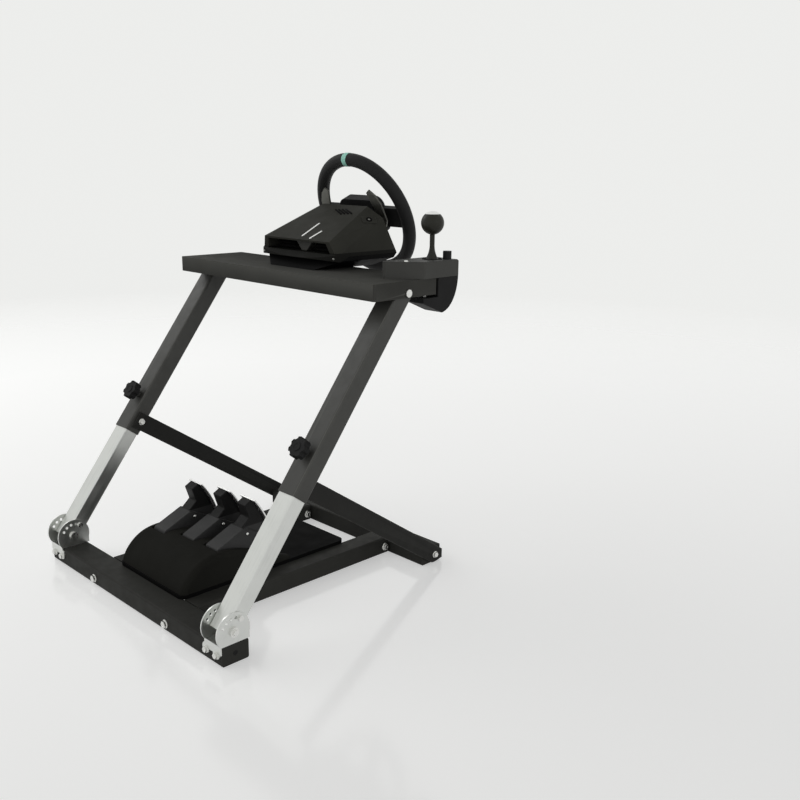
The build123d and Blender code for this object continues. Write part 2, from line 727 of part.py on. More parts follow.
def paddle(side):
    """A flat metal paddle that reaches out and up behind the rim."""
    half = PADDLE_WIDTH / 2 - PADDLE_END_GAP
    blade = [
        (-PADDLE_LUG / 2, -half), (PADDLE_FOOT_X, -half), PADDLE_HEEL, PADDLE_SHOULDER,
        PADDLE_CREST, PADDLE_TIP, PADDLE_INNER, (PADDLE_CROOK_X, half), (-PADDLE_LUG / 2, half),
    ]
    leaf = extrude(outline(*[(side * x, y) for x, y in blade]), amount=PADDLE_SHEET / 2, both=True)
    barrel = Rot(90, 0, 0) * Cylinder(PADDLE_LUG / 2, 2 * half)
    bore = Rot(90, 0, 0) * Cylinder(PADDLE_PIN_RADIUS + PIN_CLEARANCE, 2 * PADDLE_WIDTH)
    return paddle_plane(side) * (leaf + barrel - bore)


def shifter_plan(rear_y):
    """The shifter's plan, with its outer front corner cut back; it ends at rear_y."""
    plan = outline(
        (shifter_outer_x, rear_y),
        (shifter_inner_x, rear_y),
        (shifter_inner_x, shifter_front_y),
        (shifter_outer_x + SHIFTER_CHAMFER, shifter_front_y),
        (shifter_outer_x, shifter_front_y - SHIFTER_CHAMFER),
    )
    return fillet(plan.vertices(), SHIFTER_CORNER)


def plate_room():
    """The space that the shifter's cover plate fills."""
    plan = shifter_plan(shifter_rear_y + SHIFTER_PLATE_FROM_REAR)
    return Pos(0, 0, shifter_top) * extrude(plan, amount=-SHIFTER_PLATE)


def shifter_housing():
    """The shifter's body, rounded at its top rear edge and hollow round the lever's ball joint."""
    body = Pos(0, 0, table_top) * extrude(shifter_plan(shifter_rear_y), amount=SHIFTER_HEIGHT)
    length = shifter_front_y - shifter_rear_y
    middle = Pos(shifter_rear_y + length / 2, table_top + SHIFTER_HEIGHT / 2)
    side = middle * Rectangle(length, SHIFTER_HEIGHT)
    top_rear = side.vertices().group_by(Axis.X)[0].sort_by(Axis.Y)[-1]
    body &= side_slab(fillet(top_rear, SHIFTER_TOP_ROUND), shifter_outer_x, shifter_inner_x)
    body -= plate_room()
    cavity = extrude(Pos(lever_pivot.X, lever_pivot.Y) * Circle(LEVER_CAVITY), amount=SHIFTER_HEIGHT)
    body -= Pos(0, 0, table_top + SHIFTER_FLOOR) * cavity
    reach = LEVER_CAVITY + SHIFTER_PLATE
    return body - rod_x(
        GIMBAL_PIN + PIN_CLEARANCE, lever_pivot.X - reach, lever_pivot.X + reach, lever_pivot.Y, lever_pivot.Z
    )


def shifter_plate():
    """The metal cover plate that the lever's ball stands through."""
    ball_at_plate = sqrt(LEVER_BALL**2 - (SHIFTER_HEIGHT - SHIFTER_PLATE - LEVER_PIVOT_UP) ** 2)
    hole = Pos(lever_pivot.X, lever_pivot.Y) * Circle(ball_at_plate + LEVER_HOLE_GAP)
    return plate_room() - extrude(hole, amount=2 * shifter_top)


def shifter_clamp():
    """The clamp arm: it hangs behind the tray's rear edge and its jaw reaches forward under the tray."""
    curve = [(table_rear_y - behind, table_top - below) for behind, below in CLAMP_CURVE]
    inner_y = table_rear_y - CLAMP_GAP
    jaw_y = table_rear_y + JAW_REACH
    side = make_face(
        [
            Spline(*curve),
            Polyline(
                curve[-1],
                (jaw_y, table_top - JAW_DROP - JAW_TIP),
                (jaw_y, table_top - JAW_DROP),
                (inner_y, table_top - JAW_DROP),
                (inner_y, table_top),
                curve[0],
            ),
        ]
    )
    outer = shifter_outer_x + CLAMP_INSET
    return side_slab(side, outer, outer + CLAMP_WIDTH)


def clamp_screw():
    """The clamp's screw, from the jaw up to the underside of the tray."""
    x = shifter_outer_x + CLAMP_INSET + CLAMP_WIDTH / 2
    start = table_top - JAW_DROP
    height = JAW_DROP - TABLE_SHEET
    return Pos(x, table_rear_y + JAW_SCREW_REACH, start) * extrude(Circle(JAW_SCREW / 2), amount=height)


def clamp_knob_post():
    post = extrude(Circle(CLAMP_KNOB_RADIUS), amount=CLAMP_KNOB_HEIGHT)
    x = shifter_outer_x + CLAMP_KNOB_FROM_SIDE
    return Pos(x, shifter_rear_y + CLAMP_KNOB_FROM_REAR, shifter_top) * post


def shift_gimbal():
    """The crosspiece inside the shifter that lets the lever rock both ways."""
    reach = LEVER_CAVITY + SHIFTER_PLATE
    cross = rod_x(GIMBAL_PIN, -reach, reach, 0, 0) + Box(GIMBAL_CUBE, GIMBAL_CUBE, GIMBAL_CUBE)
    cross += Rot(90, 0, 0) * Cylinder(GIMBAL_PIN, 2 * LEVER_BALL - GIMBAL_CUBE)
    return Pos(lever_pivot.X, lever_pivot.Y, lever_pivot.Z) * cross


def gear_lever():
    """The ball joint and the flared lever, as one turned piece, hollow round the gimbal."""
    root = (LEVER_ROOT, sqrt(LEVER_BALL**2 - LEVER_ROOT**2))
    flat_edge = (sqrt(LEVER_BALL**2 - LEVER_BALL_FLAT**2), -LEVER_BALL_FLAT)
    stem = (LEVER_NECK, LEVER_STEM_AT)
    top = LEVER_HEIGHT - sqrt(KNOB_BALL**2 - LEVER_NECK**2)
    profile = make_face(
        [
            Line((0, -LEVER_BALL_FLAT), flat_edge),
            ThreePointArc(flat_edge, polar(LEVER_BALL, LEVER_ARC_MIDDLE), root),
            Spline(root, (LEVER_FLARE, LEVER_FLARE_AT), stem),
            Line(stem, (LEVER_NECK, top)),
            Line((LEVER_NECK, top), (0, top)),
            Line((0, top), (0, -LEVER_BALL_FLAT)),
        ]
    )
    lever = revolve(Plane.XZ * profile, axis=Axis.Z)
    room = GIMBAL_CUBE / sqrt(2) + GIMBAL_GAP
    lever -= Rot(90, 0, 0) * Cylinder(room, GIMBAL_CUBE + 2 * GIMBAL_GAP)
    lever -= Rot(90, 0, 0) * Cylinder(GIMBAL_PIN + PIN_CLEARANCE, 2 * LEVER_BALL)
    swing = GIMBAL_PIN + GIMBAL_GAP + LEVER_BALL * sin(radians(LEVER_SIDE_SWING))
    lever -= Box(2 * LEVER_BALL, 2 * (GIMBAL_PIN + GIMBAL_GAP), 2 * swing)
    return Pos(lever_pivot.X, lever_pivot.Y, lever_pivot.Z) * lever


def gear_knob():
    """The ball grip, cut flat on top and bored for the lever."""
    ball = Sphere(KNOB_BALL)
    ball &= block(-KNOB_BALL, KNOB_BALL, -KNOB_BALL, KNOB_BALL, -KNOB_BALL, KNOB_FLAT)
    top = -sqrt(KNOB_BALL**2 - LEVER_NECK**2)
    ball -= block(-LEVER_NECK, LEVER_NECK, -LEVER_NECK, LEVER_NECK, -KNOB_BALL, top)
    return Pos(lever_pivot.X, lever_pivot.Y, lever_pivot.Z + LEVER_HEIGHT) * ball


def pedal_base_plate():
    plate = RectangleRounded(2 * PEDAL_HALF_WIDTH, PEDAL_PLATE_LENGTH, PEDAL_PLATE_CORNER)
    middle = pedal_front_y - PEDAL_PLATE_LENGTH / 2
    return Pos(0, middle, TUBE_HEIGHT) * extrude(plate, amount=PEDAL_PLATE)


def pedal_pivot(index):
    """The pivot of a pedal; the first is at the driver's right, and each next one sits further back."""
    x = PEDAL_PITCH * ((pedal_count - 1) / 2 - index)
    y = pedal_front_y - PEDAL_PIVOT_BACK - PEDAL_STAGGERS[index]
    return Vector(x, y, pedal_plate_top + PEDAL_PIVOT_RISE)


def pedal_housing():
    """The humped cover, with an open slot for each pedal arm."""
    points = [(pedal_front_y - behind, pedal_plate_top + height) for behind, height in HUMP]
    rear = (housing_rear_y, pedal_plate_top + HOUSING_REAR_HEIGHT)
    under = Polyline(rear, (housing_rear_y, pedal_plate_top), points[0])
    half = PEDAL_HALF_WIDTH - HOUSING_SIDE_INSET
    cover = side_slab(make_face([Spline(*points, rear), under]), -half, half)
    cover = fillet(cover.edges().filter_by(GeomType.BSPLINE), HOUSING_EDGE)
    slot_half = PEDAL_ARM_WIDTH / 2 + PEDAL_SIDE_GAP
    floor = pedal_plate_top + PEDAL_SLOT_FLOOR
    high = 2 * PEDAL_REACH
    for index in range(pedal_count):
        pivot = pedal_pivot(index)
        sweep = Pos(pivot.Y, pivot.Z) * Circle(PEDAL_REACH + PEDAL_FRONT_GAP)
        behind = pivot.Y - housing_rear_y + PEDAL_HUB
        sweep += Pos(pivot.Y - behind / 2, pivot.Z) * Rectangle(behind, 2 * PEDAL_REACH)
        sweep &= Pos(pivot.Y, floor + high) * Rectangle(4 * PEDAL_REACH + behind, 2 * high)
        cover -= side_slab(sweep, pivot.X - slot_half, pivot.X + slot_half)
        seat = slot_half + PEDAL_PIN_SEAT
        cover -= rod_x(PEDAL_PIN / 2 + PIN_CLEARANCE, pivot.X - seat, pivot.X + seat, pivot.Y, pivot.Z)
    return cover


def pedal_pins():
    pins = []
    seat = PEDAL_ARM_WIDTH / 2 + PEDAL_SIDE_GAP + PEDAL_PIN_SEAT
    for index in range(pedal_count):
        pivot = pedal_pivot(index)
        pins.append(rod_x(PEDAL_PIN / 2, pivot.X - seat, pivot.X + seat, pivot.Y, pivot.Z))
    return pins


def pedal_arm(index):
    """The arm: a wedge that sinks into the cover when pressed, and the head that carries the pad."""
    low = polar(PEDAL_REACH, PEDAL_WEDGE_LOW)
    high = polar(PEDAL_REACH, PEDAL_WEDGE_HIGH)
    middle = polar(PEDAL_REACH, (PEDAL_WEDGE_LOW + PEDAL_WEDGE_HIGH) / 2)
    hub_low = polar(PEDAL_HUB, PEDAL_HUB_LOW)
    hub_middle = polar(PEDAL_HUB, (PEDAL_HUB_LOW + PEDAL_HUB_BACK) / 2)
    hub_back = polar(PEDAL_HUB, PEDAL_HUB_BACK)
    wedge = make_face(
        [
            Line(hub_low, low),
            ThreePointArc(low, middle, high),
            Polyline(high, ARM_SHOULDER, ARM_HEEL, hub_back),
            ThreePointArc(hub_back, hub_middle, hub_low),
        ]
    )
    wedge -= Circle(PEDAL_PIN / 2 + PIN_CLEARANCE)
    head = make_face(
        [
            Polyline(ARM_SHOULDER, ARM_NECK, ARM_CREST, PAD_TOP),
            ThreePointArc(PAD_TOP, PAD_MIDDLE, PAD_LOW),
            Polyline(PAD_LOW, ARM_HEEL, ARM_SHOULDER),
        ]
    )
    pivot = pedal_pivot(index)
    at_pivot = Pos(pivot.Y, pivot.Z)
    half = PEDAL_ARM_WIDTH / 2
    head_half = PEDAL_HEAD_WIDTH / 2
    arm = side_slab(at_pivot * wedge, pivot.X - half, pivot.X + half)
    return arm + side_slab(at_pivot * head, pivot.X - head_half, pivot.X + head_half)


def pedal_pad(index):
    """The curved metal face plate on the driver's side of a pedal arm."""
    tilt = atan2(PAD_LOW[1] - PAD_TOP[1], PAD_LOW[0] - PAD_TOP[0]) - radians(90)
    shift = (PEDAL_PAD_SHEET * cos(tilt), PEDAL_PAD_SHEET * sin(tilt))
    outer = [(p[0] + shift[0], p[1] + shift[1]) for p in (PAD_TOP, PAD_MIDDLE, PAD_LOW)]
    side = make_face(
        [
            ThreePointArc(PAD_TOP, PAD_MIDDLE, PAD_LOW),
            Line(PAD_LOW, outer[2]),
            ThreePointArc(outer[2], outer[1], outer[0]),
            Line(outer[0], PAD_TOP),
        ]
    )
    pivot = pedal_pivot(index)
    half = PEDAL_PAD_WIDTH / 2
    return side_slab(Pos(pivot.Y, pivot.Z) * side, pivot.X - half, pivot.X + half)


nodes = {
    "front_cross_tube": [front_tube()],
    "front_tube_caps": front_caps(),
    "rear_cross_tube": [rear_tube()],
    "rear_end_plates": rear_end_plates(),
    "leg_pivot_bolts": headed_bolts(PIVOT_BOLT, PIVOT_HEAD, PIVOT_HEAD_HEIGHT, leg_pivot),
    "leg_lock_pins": headed_bolts(LOCK_HOLE, LOCK_HEAD, LOCK_HEAD_HEIGHT, lock_point(0)),
    "table_tray": [table_tray()],
    "table_pivot_bolts": table_pins(),
    "wheel_base_shell": [base_shell()],
    "wheel_base_divider": [base_divider()],
    "wheel_base_foot": [base_foot()],
    "column_collar": [column_collar()],
    "wheel_shaft": [wheel_shaft()],
    "wheel_hub": [wheel_hub()],
    "wheel_rim": [wheel_rim()],
    "side_spokes": side_spokes(),
    "lower_spoke": [lower_spoke()],
    "paddle_mounts": paddle_mounts(),
    "shifter_housing": [shifter_housing()],
    "shifter_cover_plate": [shifter_plate()],
    "shifter_clamp": [shifter_clamp()],
    "shifter_clamp_screw": [clamp_screw()],
    "shifter_clamp_knob": [clamp_knob_post()],
    "shift_gimbal": [shift_gimbal()],
    "gear_lever": [gear_lever()],
    "gear_knob": [gear_knob()],
    "pedal_base_plate": [pedal_base_plate()],
    "pedal_housing": [pedal_housing()],
    "pedal_pivot_pins": pedal_pins(),
}
for side, name in ((-1, "left"), (1, "right")):
    nodes[name + "_rail"] = [rail(side)]
    nodes[name + "_ratchet_bracket"] = [ratchet_bracket(side)]
    nodes[name + "_inner_leg"] = [inner_leg(side)]
    nodes[name + "_outer_leg"] = [outer_leg(side)]
    nodes[name + "_leg_knob"] = [clamp_knob(side)]
    nodes[name + "_strut"] = [strut(side)]
    nodes[name + "_paddle"] = [paddle(side)]
for index, name in enumerate(("throttle", "brake", "clutch")):
    nodes[name + "_pedal_arm"] = [pedal_arm(index)]
    nodes[name + "_pedal_pad"] = [pedal_pad(index)]

os.makedirs("parts", exist_ok=True)
for name, solids in nodes.items():
    shapes = [solid for piece in solids for solid in piece.solids()]
    export_step(shapes[0] if len(shapes) == 1 else Compound(shapes), f"parts/{name}.step")
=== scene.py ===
import json
import math

import bmesh
import bpy
from mathutils import Matrix, Vector


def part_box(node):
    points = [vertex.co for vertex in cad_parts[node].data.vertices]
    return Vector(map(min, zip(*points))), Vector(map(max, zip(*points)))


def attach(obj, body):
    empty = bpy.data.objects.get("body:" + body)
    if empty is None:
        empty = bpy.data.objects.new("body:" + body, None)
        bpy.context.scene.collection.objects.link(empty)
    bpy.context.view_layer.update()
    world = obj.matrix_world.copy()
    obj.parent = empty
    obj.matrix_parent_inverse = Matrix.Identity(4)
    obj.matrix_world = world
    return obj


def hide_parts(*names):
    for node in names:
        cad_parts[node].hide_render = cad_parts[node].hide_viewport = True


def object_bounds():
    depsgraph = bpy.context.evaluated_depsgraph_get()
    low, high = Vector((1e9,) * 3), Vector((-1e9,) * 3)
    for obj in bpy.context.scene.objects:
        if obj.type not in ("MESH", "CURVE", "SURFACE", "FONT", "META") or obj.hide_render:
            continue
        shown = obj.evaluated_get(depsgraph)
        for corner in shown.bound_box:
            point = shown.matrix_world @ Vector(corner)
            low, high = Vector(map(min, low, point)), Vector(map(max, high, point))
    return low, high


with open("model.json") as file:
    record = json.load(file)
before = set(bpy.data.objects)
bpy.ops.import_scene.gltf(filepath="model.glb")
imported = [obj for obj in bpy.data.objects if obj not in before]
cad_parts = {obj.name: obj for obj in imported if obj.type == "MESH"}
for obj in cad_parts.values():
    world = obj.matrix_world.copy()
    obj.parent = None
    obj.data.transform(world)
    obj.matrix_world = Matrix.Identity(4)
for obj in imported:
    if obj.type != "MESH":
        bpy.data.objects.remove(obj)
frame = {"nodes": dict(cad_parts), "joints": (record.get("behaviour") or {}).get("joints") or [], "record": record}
cad_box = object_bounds()

MM = 0.001
WHITE = (1, 1, 1)
UP = Vector((0, 0, 1))
PEDALS = ("throttle", "brake", "clutch")

# Camera: where it stands, where it looks, and its lens
CAMERA_PLACE = Vector((-1.658, 0.904, 0.913))
CAMERA_YAW = -45.16
CAMERA_PITCH = 14.45
CAMERA_ROLL = 0.77
CAMERA_LENS = 42.35
CAMERA_SENSOR = 36.0

# Stage: the floor fades into the backdrop between two distances, and its colour drifts
# by a share, in drifts a metre
BACKDROP = (0.845, 0.850, 0.835)
FLOOR_COLOUR = (0.84, 0.845, 0.825)
FLOOR_TINT = (0.008, 0.8)
FLOOR_GLOW = 0.42
FLOOR_SIZE = 30.0
FLOOR_MIDDLE_Y = -0.3
FLOOR_FADE = (2.2, 4.6)
FLOOR_ROUGHNESS = 0.12
AMBIENT = 0.22

# Lamps: place, point they face, size and power
LAMPS = {
    "key": ((3.4, 1.7, 2.6), (0.0, -0.3, 0.35), 5.0, 85.0),
    "front": ((-0.8, 3.5, 1.8), (0.0, -0.3, 0.35), 3.0, 50.0),
    "fill": ((-3.4, -0.5, 1.45), (0.0, -0.3, 0.4), 3.0, 70.0),
    "top": ((0.2, -0.6, 3.8), (0.0, -0.3, 0.0), 2.8, 4.0),
    "edge": ((3.2, 0.4, 2.8), (0.0, 0.0, 0.1), 1.2, 12.0),
}

# Lamps that glossy surfaces mirror, and lamps whose light is kept off the floor
MIRRORED_LAMPS = ("edge",)
LAMPS_OFF_FLOOR = ("edge", "front", "fill")

# Softened edges of the solids, and the angle at which an added piece's edge stays sharp
EDGE_ANGLE = math.radians(32)
EDGE_SEGMENTS = 3
EDGE_WELD = 0.01 * MM
SHARP_ANGLE = math.radians(35)
EDGE_WIDTHS = {
    "black_steel": 1.2 * MM,
    "galvanised_steel": 0.7 * MM,
    "bolt_steel": 0.6 * MM,
    "black_plastic": 1.4 * MM,
    "shell_plastic": 3.0 * MM,
    "grey_plastic": 1.6 * MM,
    "wheel_plastic": 3.0 * MM,
    "rim_leather": 0.5 * MM,
    "paddle_metal": 0.8 * MM,
    "shifter_plastic": 1.6 * MM,
    "shifter_metal": 0.6 * MM,
    "lever_plastic": 0.6 * MM,
    "pedal_plastic": 2.5 * MM,
    "pad_metal": 0.8 * MM,
}

# The part of 0 to 1 that most of a noise falls in
NOISE_RANGE = (0.3, 0.7)

# Pointiness at which an edge, painted lighter for wear and as a painted highlight, starts to show and shows in
# full, and how much lighter it is
WEAR_AND_SHEEN_RANGE = (0.52, 0.60)
WEAR_AND_SHEEN_FACTOR = 3

# A moulded colour's drift, as a share and in drifts a metre, and half the blur between two shades
MOULD_TINT = (0.08, 11.0)
SPLIT_BLUR = 0.5 * MM


def node(tree, kind, **values):
    """Adds a shader node and sets the inputs named by their socket names."""
    made = tree.nodes.new(kind)
    for name, value in values.items():
        made.inputs[name.replace("_", " ")].default_value = value
    return made


def colour(rgb, factor=1.0):
    return (*(min(1.0, channel * factor) for channel in rgb), 1.0)


def ramp(tree, source, stops):
    """A colour ramp over a source socket, between two stops of (position, rgba)."""
    made = tree.nodes.new("ShaderNodeValToRGB")
    for element, (position, rgba) in zip(made.color_ramp.elements, stops):
        element.position = position
        element.color = rgba
    tree.links.new(source, made.inputs["Fac"])
    return made.outputs["Color"]


def span(tree, source, low, high, ends=(0.0, 1.0)):
    """Maps a source socket's range between two ends onto low to high."""
    made = node(
        tree, "ShaderNodeMapRange", From_Min=ends[0], From_Max=ends[1], To_Min=low, To_Max=high
    )
    tree.links.new(source, made.inputs["Value"])
    return made.outputs["Result"]


def noise(tree, scale, detail=4.0, stretch=(1.0, 1.0, 1.0), roughness=0.5, lean=0.0):
    """Noise in the piece's own coordinates, in repeats a metre; lean turns them about X first."""
    place = tree.nodes.new("ShaderNodeTexCoord")
    turned = node(tree, "ShaderNodeMapping", Rotation=(lean, 0.0, 0.0))
    mapping = node(tree, "ShaderNodeMapping", Scale=stretch)
    made = node(tree, "ShaderNodeTexNoise", Scale=scale, Detail=detail, Roughness=roughness)
    tree.links.new(place.outputs["Object"], turned.inputs["Vector"])
    tree.links.new(turned.outputs["Vector"], mapping.inputs["Vector"])
    tree.links.new(mapping.outputs["Vector"], made.inputs["Vector"])
    return made.outputs["Fac"]


def cells(tree, scale, feature="F1"):
    """The distance to a cell's middle, in the piece's own coordinates, in cells a metre."""
    place = tree.nodes.new("ShaderNodeTexCoord")
    made = node(tree, "ShaderNodeTexVoronoi", Scale=scale)
    made.feature = feature
    tree.links.new(place.outputs["Object"], made.inputs["Vector"])
    return made.outputs["Distance"]


def start(name, roughness, metallic=0.0, specular=0.5):
    """A new material with its shader's constant values set."""
    material = bpy.data.materials.new(name)
    material.use_nodes = True
    shader = material.node_tree.nodes["Principled BSDF"]
    shader.inputs["Roughness"].default_value = roughness
    shader.inputs["Metallic"].default_value = metallic
    shader.inputs["Specular IOR Level"].default_value = specular
    return material, material.node_tree, shader


def bump(tree, shader, height, distance, strength):
    """Raises the surface by a height socket, over a distance in metres."""
    made = node(tree, "ShaderNodeBump", Strength=strength, Distance=distance)
    tree.links.new(height, made.inputs["Height"])
    tree.links.new(made.outputs["Normal"], shader.inputs["Normal"])


def shade_by(tree, shader, source, rgb, factors, ends=NOISE_RANGE):
    """Colours the surface from one factor of a colour to another, by a source socket."""
    stops = [(end, colour(rgb, factor)) for end, factor in zip(ends, factors)]
    shade = ramp(tree, source, stops)
    tree.links.new(shade, shader.inputs["Base Color"])
    return shade


def gloss_by(tree, shader, source, roughness, less, more, ends=NOISE_RANGE):
    """Varies the roughness by a source socket, from less to more than a middle value."""
    gloss = span(tree, source, roughness - less, roughness + more, ends)
    tree.links.new(gloss, shader.inputs["Roughness"])


def tint(tree, shader, rgb, spread, scale):
    """Colour that drifts a little over the surface."""
    drift = noise(tree, scale, detail=5.0)
    return shade_by(tree, shader, drift, rgb, (1 - spread, 1 + spread))


def wear_and_edge_sheen(tree, shader, shade, rgb, amount):
    """Brightens a colour along the edges, where a coat rubs thin, and paints a highlight there as though the edges
    caught the light.
    """
    pointed = tree.nodes.new("ShaderNodeNewGeometry").outputs["Pointiness"]
    stops = [(WEAR_AND_SHEEN_RANGE[0], (0, 0, 0, 1)), (WEAR_AND_SHEEN_RANGE[1], (amount, amount, amount, 1))]
    mix = node(tree, "ShaderNodeMixRGB", Color2=colour(rgb))
    tree.links.new(ramp(tree, pointed, stops), mix.inputs["Fac"])
    tree.links.new(shade, mix.inputs["Color1"])
    tree.links.new(mix.outputs["Color"], shader.inputs["Base Color"])


def powder_coat(name, rgb, roughness, specular):
    """Powder coat: fine orange peel, uneven gloss, and edges a shade lighter, partly rubbed coat and partly
    painted highlight.
    """
    material, tree, shader = start(name, roughness, specular=specular)
    shade = tint(tree, shader, rgb, spread=0.10, scale=14.0)
    # Edges painted lighter: partly a rubbed coat, partly a painted highlight where they would catch the light
    wear_and_edge_sheen(tree, shader, shade, [WEAR_AND_SHEEN_FACTOR * channel for channel in rgb], amount=0.5)
    gloss_by(tree, shader, noise(tree, 45.0, detail=6.0), roughness, less=0.06, more=0.08)
    bump(tree, shader, noise(tree, 1400.0, detail=2.0), distance=0.06 * MM, strength=0.35)
    return material


def zinc(name, rgb, roughness, lean=0.0):
    """Bright zinc plate: fine drawing marks along the metal and a faint cloudy spangle."""
    material, tree, shader = start(name, roughness, metallic=1.0)
    streaks = noise(tree, 220.0, stretch=(1.0, 1.0, 0.02), lean=lean)
    cloud = noise(tree, 30.0, detail=5.0)
    both = node(tree, "ShaderNodeMath")
    both.operation = "ADD"
    tree.links.new(streaks, both.inputs[0])
    tree.links.new(cloud, both.inputs[1])
    total = both.outputs[0]
    shade_by(tree, shader, total, rgb, (0.96, 1.04), ends=(0.7, 1.0))
    gloss_by(tree, shader, total, roughness, less=0.03, more=0.04, ends=(0.8, 1.2))
    bump(tree, shader, streaks, distance=0.05 * MM, strength=0.08)
    return material


def moulded(name, rgb, roughness, grain=900.0, relief=0.12, specular=0.15):
    """Moulded plastic: a fine pebble, its grain in cells a metre and its relief in millimetres."""
    material, tree, shader = start(name, roughness, specular=specular)
    tint(tree, shader, rgb, *MOULD_TINT)
    gloss_by(tree, shader, noise(tree, 30.0, detail=5.0), roughness, less=0.05, more=0.07)
    bump(tree, shader, cells(tree, grain), distance=relief * MM, strength=0.3)
    return material


def parted_shades(name, low_rgb, high_rgb, height, roughness, **finish):
    """Moulded plastic in two shades that part at a height; on the wheel base's lip the darker one is painted
    shade.
    """
    material = moulded(name, low_rgb, roughness, **finish)
    tree = material.node_tree
    shader = tree.nodes["Principled BSDF"]
    low = shader.inputs["Base Color"].links[0].from_socket
    high = tint(tree, shader, high_rgb, *MOULD_TINT)
    place = tree.nodes.new("ShaderNodeTexCoord")
    split = tree.nodes.new("ShaderNodeSeparateXYZ")
    tree.links.new(place.outputs["Object"], split.inputs["Vector"])
    part = span(tree, split.outputs["Z"], 0.0, 1.0, (height - SPLIT_BLUR, height + SPLIT_BLUR))
    mix = tree.nodes.new("ShaderNodeMixRGB")
    tree.links.new(part, mix.inputs["Fac"])
    tree.links.new(low, mix.inputs["Color1"])
    tree.links.new(high, mix.inputs["Color2"])
    tree.links.new(mix.outputs["Color"], shader.inputs["Base Color"])
    return material


def leather(name, rgb, roughness=0.55):
    """Leather: a pebble of small creased cells, with the raised parts rubbed smoother."""
    material, tree, shader = start(name, roughness, specular=0.15)
    grain = cells(tree, 750.0, "SMOOTH_F1")
    # Painted shade in the grain: darker in the sunk creases between cells, lighter on the raised cells
    shade_by(tree, shader, grain, rgb, (1.25, 0.7), ends=(0.1, 0.7))
    gloss_by(tree, shader, grain, roughness, less=0.09, more=0.11, ends=(0.0, 1.0))
    bump(tree, shader, grain, distance=-0.25 * MM, strength=0.5)
    return material


def brushed(name, rgb, roughness, stretch):
    """Brushed metal: long fine scratches one way."""
    material, tree, shader = start(name, roughness, metallic=1.0)
    lines = noise(tree, 90.0, detail=5.0, stretch=stretch, roughness=0.7)
    shade_by(tree, shader, lines, rgb, (0.85, 1.12))
    gloss_by(tree, shader, lines, roughness, less=0.08, more=0.12)
    bump(tree, shader, lines, distance=0.04 * MM, strength=0.3)
    return material


def thread(name, rgb, roughness=0.6):
    """Waxed thread, twisted."""
    material, tree, shader = start(name, roughness)
    twist = noise(tree, 900.0, detail=2.0, stretch=(1.0, 1.0, 4.0))
    shade_by(tree, shader, twist, rgb, (1.0, 2.2))
    return material


# The legs' lean from upright
LEG_LEAN = math.radians(-37)

# One material for each slot
MATERIALS = {
    "black_steel": powder_coat("black_steel", (0.032, 0.032, 0.029), 0.44, 0.4),
    "galvanised_steel": zinc("galvanised_steel", (0.65, 0.66, 0.64), 0.32, LEG_LEAN),
    "bolt_steel": zinc("bolt_steel", (0.72, 0.72, 0.70), 0.26),
    "black_plastic": moulded("black_plastic", (0.010, 0.010, 0.010), 0.55, specular=0.10),
    "shell_plastic": moulded("shell_plastic", (0.023, 0.023, 0.0195), 0.52, 1300.0, 0.05, 0.08),
    "grey_plastic": moulded("grey_plastic", (0.030, 0.030, 0.030), 0.52),
    "wheel_plastic": moulded("wheel_plastic", (0.008, 0.008, 0.008), 0.55, specular=0.10),
    "rim_leather": leather("rim_leather", (0.010, 0.010, 0.010)),
    "paddle_metal": brushed("paddle_metal", (0.21, 0.21, 0.19), 0.42, (1.0, 1.0, 18.0)),
    "shifter_plastic": moulded("shifter_plastic", (0.042, 0.042, 0.039), 0.50),
    "shifter_metal": powder_coat("shifter_metal", (0.036, 0.036, 0.034), 0.50, 0.15),
    "lever_plastic": moulded("lever_plastic", (0.014, 0.014, 0.011), 0.42, 1300.0, 0.04, 0.2),
    "pedal_plastic": moulded("pedal_plastic", (0.012, 0.012, 0.0105), 0.60, 700.0, 0.15, 0.02),
    "pad_metal": brushed("pad_metal", (0.84, 0.84, 0.83), 0.38, (1.0, 14.0, 14.0)),
}

# Heights at which a pedal arm changes shade, and under which the wheel base's lip is painted near black as shade
ARM_SPLIT = 142.0 * MM
LIP_SHADE_HEIGHT = 3.0 * MM
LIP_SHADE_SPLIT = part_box("wheel_base_divider")[0].z + LIP_SHADE_HEIGHT

# Nodes whose material differs from the rest of their slot: other finishes, darker copies of a colour as painted
# shade, and a lighter one as painted light
NODE_MATERIALS = {
    "table_tray": powder_coat("tray_coat", (0.038, 0.038, 0.035), 0.68, 0.01),
    "front_tube_caps": moulded("cap_plastic", (0.022, 0.022, 0.020), 0.55, specular=0.10),
    "wheel_base_foot": moulded("foot_plastic", (0.005, 0.005, 0.005), 0.60, specular=0.03),
    # The shell's lip, under a height, is painted near black, as painted shade on its upper face
    "wheel_base_shell": parted_shades(
        "shell_lip_shade", (0.010, 0.010, 0.009), (0.028, 0.028, 0.024), LIP_SHADE_SPLIT, 0.52,
        grain=1300.0, relief=0.05, specular=0.03,
    ),
    # The divider is painted lighter than the shell, as painted light where the intake shades it
    "wheel_base_divider": moulded("divider_lit_plastic", (0.045, 0.045, 0.041), 0.52),
    # The pedals' base plate is painted near black, as painted shade
    "pedal_base_plate": moulded("plate_shaded_plastic", (0.004, 0.004, 0.004), 0.62, 700.0, 0.15, 0.02),
    # The struts: the black paint made darker still, as painted shade
    "left_strut": powder_coat("strut_shaded_coat", (0.015, 0.015, 0.014), 0.55, 0.10),
    # The rails, the cross tubes and the end plates: the black paint made darker than the legs', as painted shade
    "left_rail": powder_coat("frame_shaded_coat", (0.021, 0.021, 0.019), 0.52, 0.07),
}
NODE_MATERIALS["right_strut"] = NODE_MATERIALS["left_strut"]
for name in ("right_rail", "front_cross_tube", "rear_cross_tube", "rear_end_plates"):
    NODE_MATERIALS[name] = NODE_MATERIALS["left_rail"]
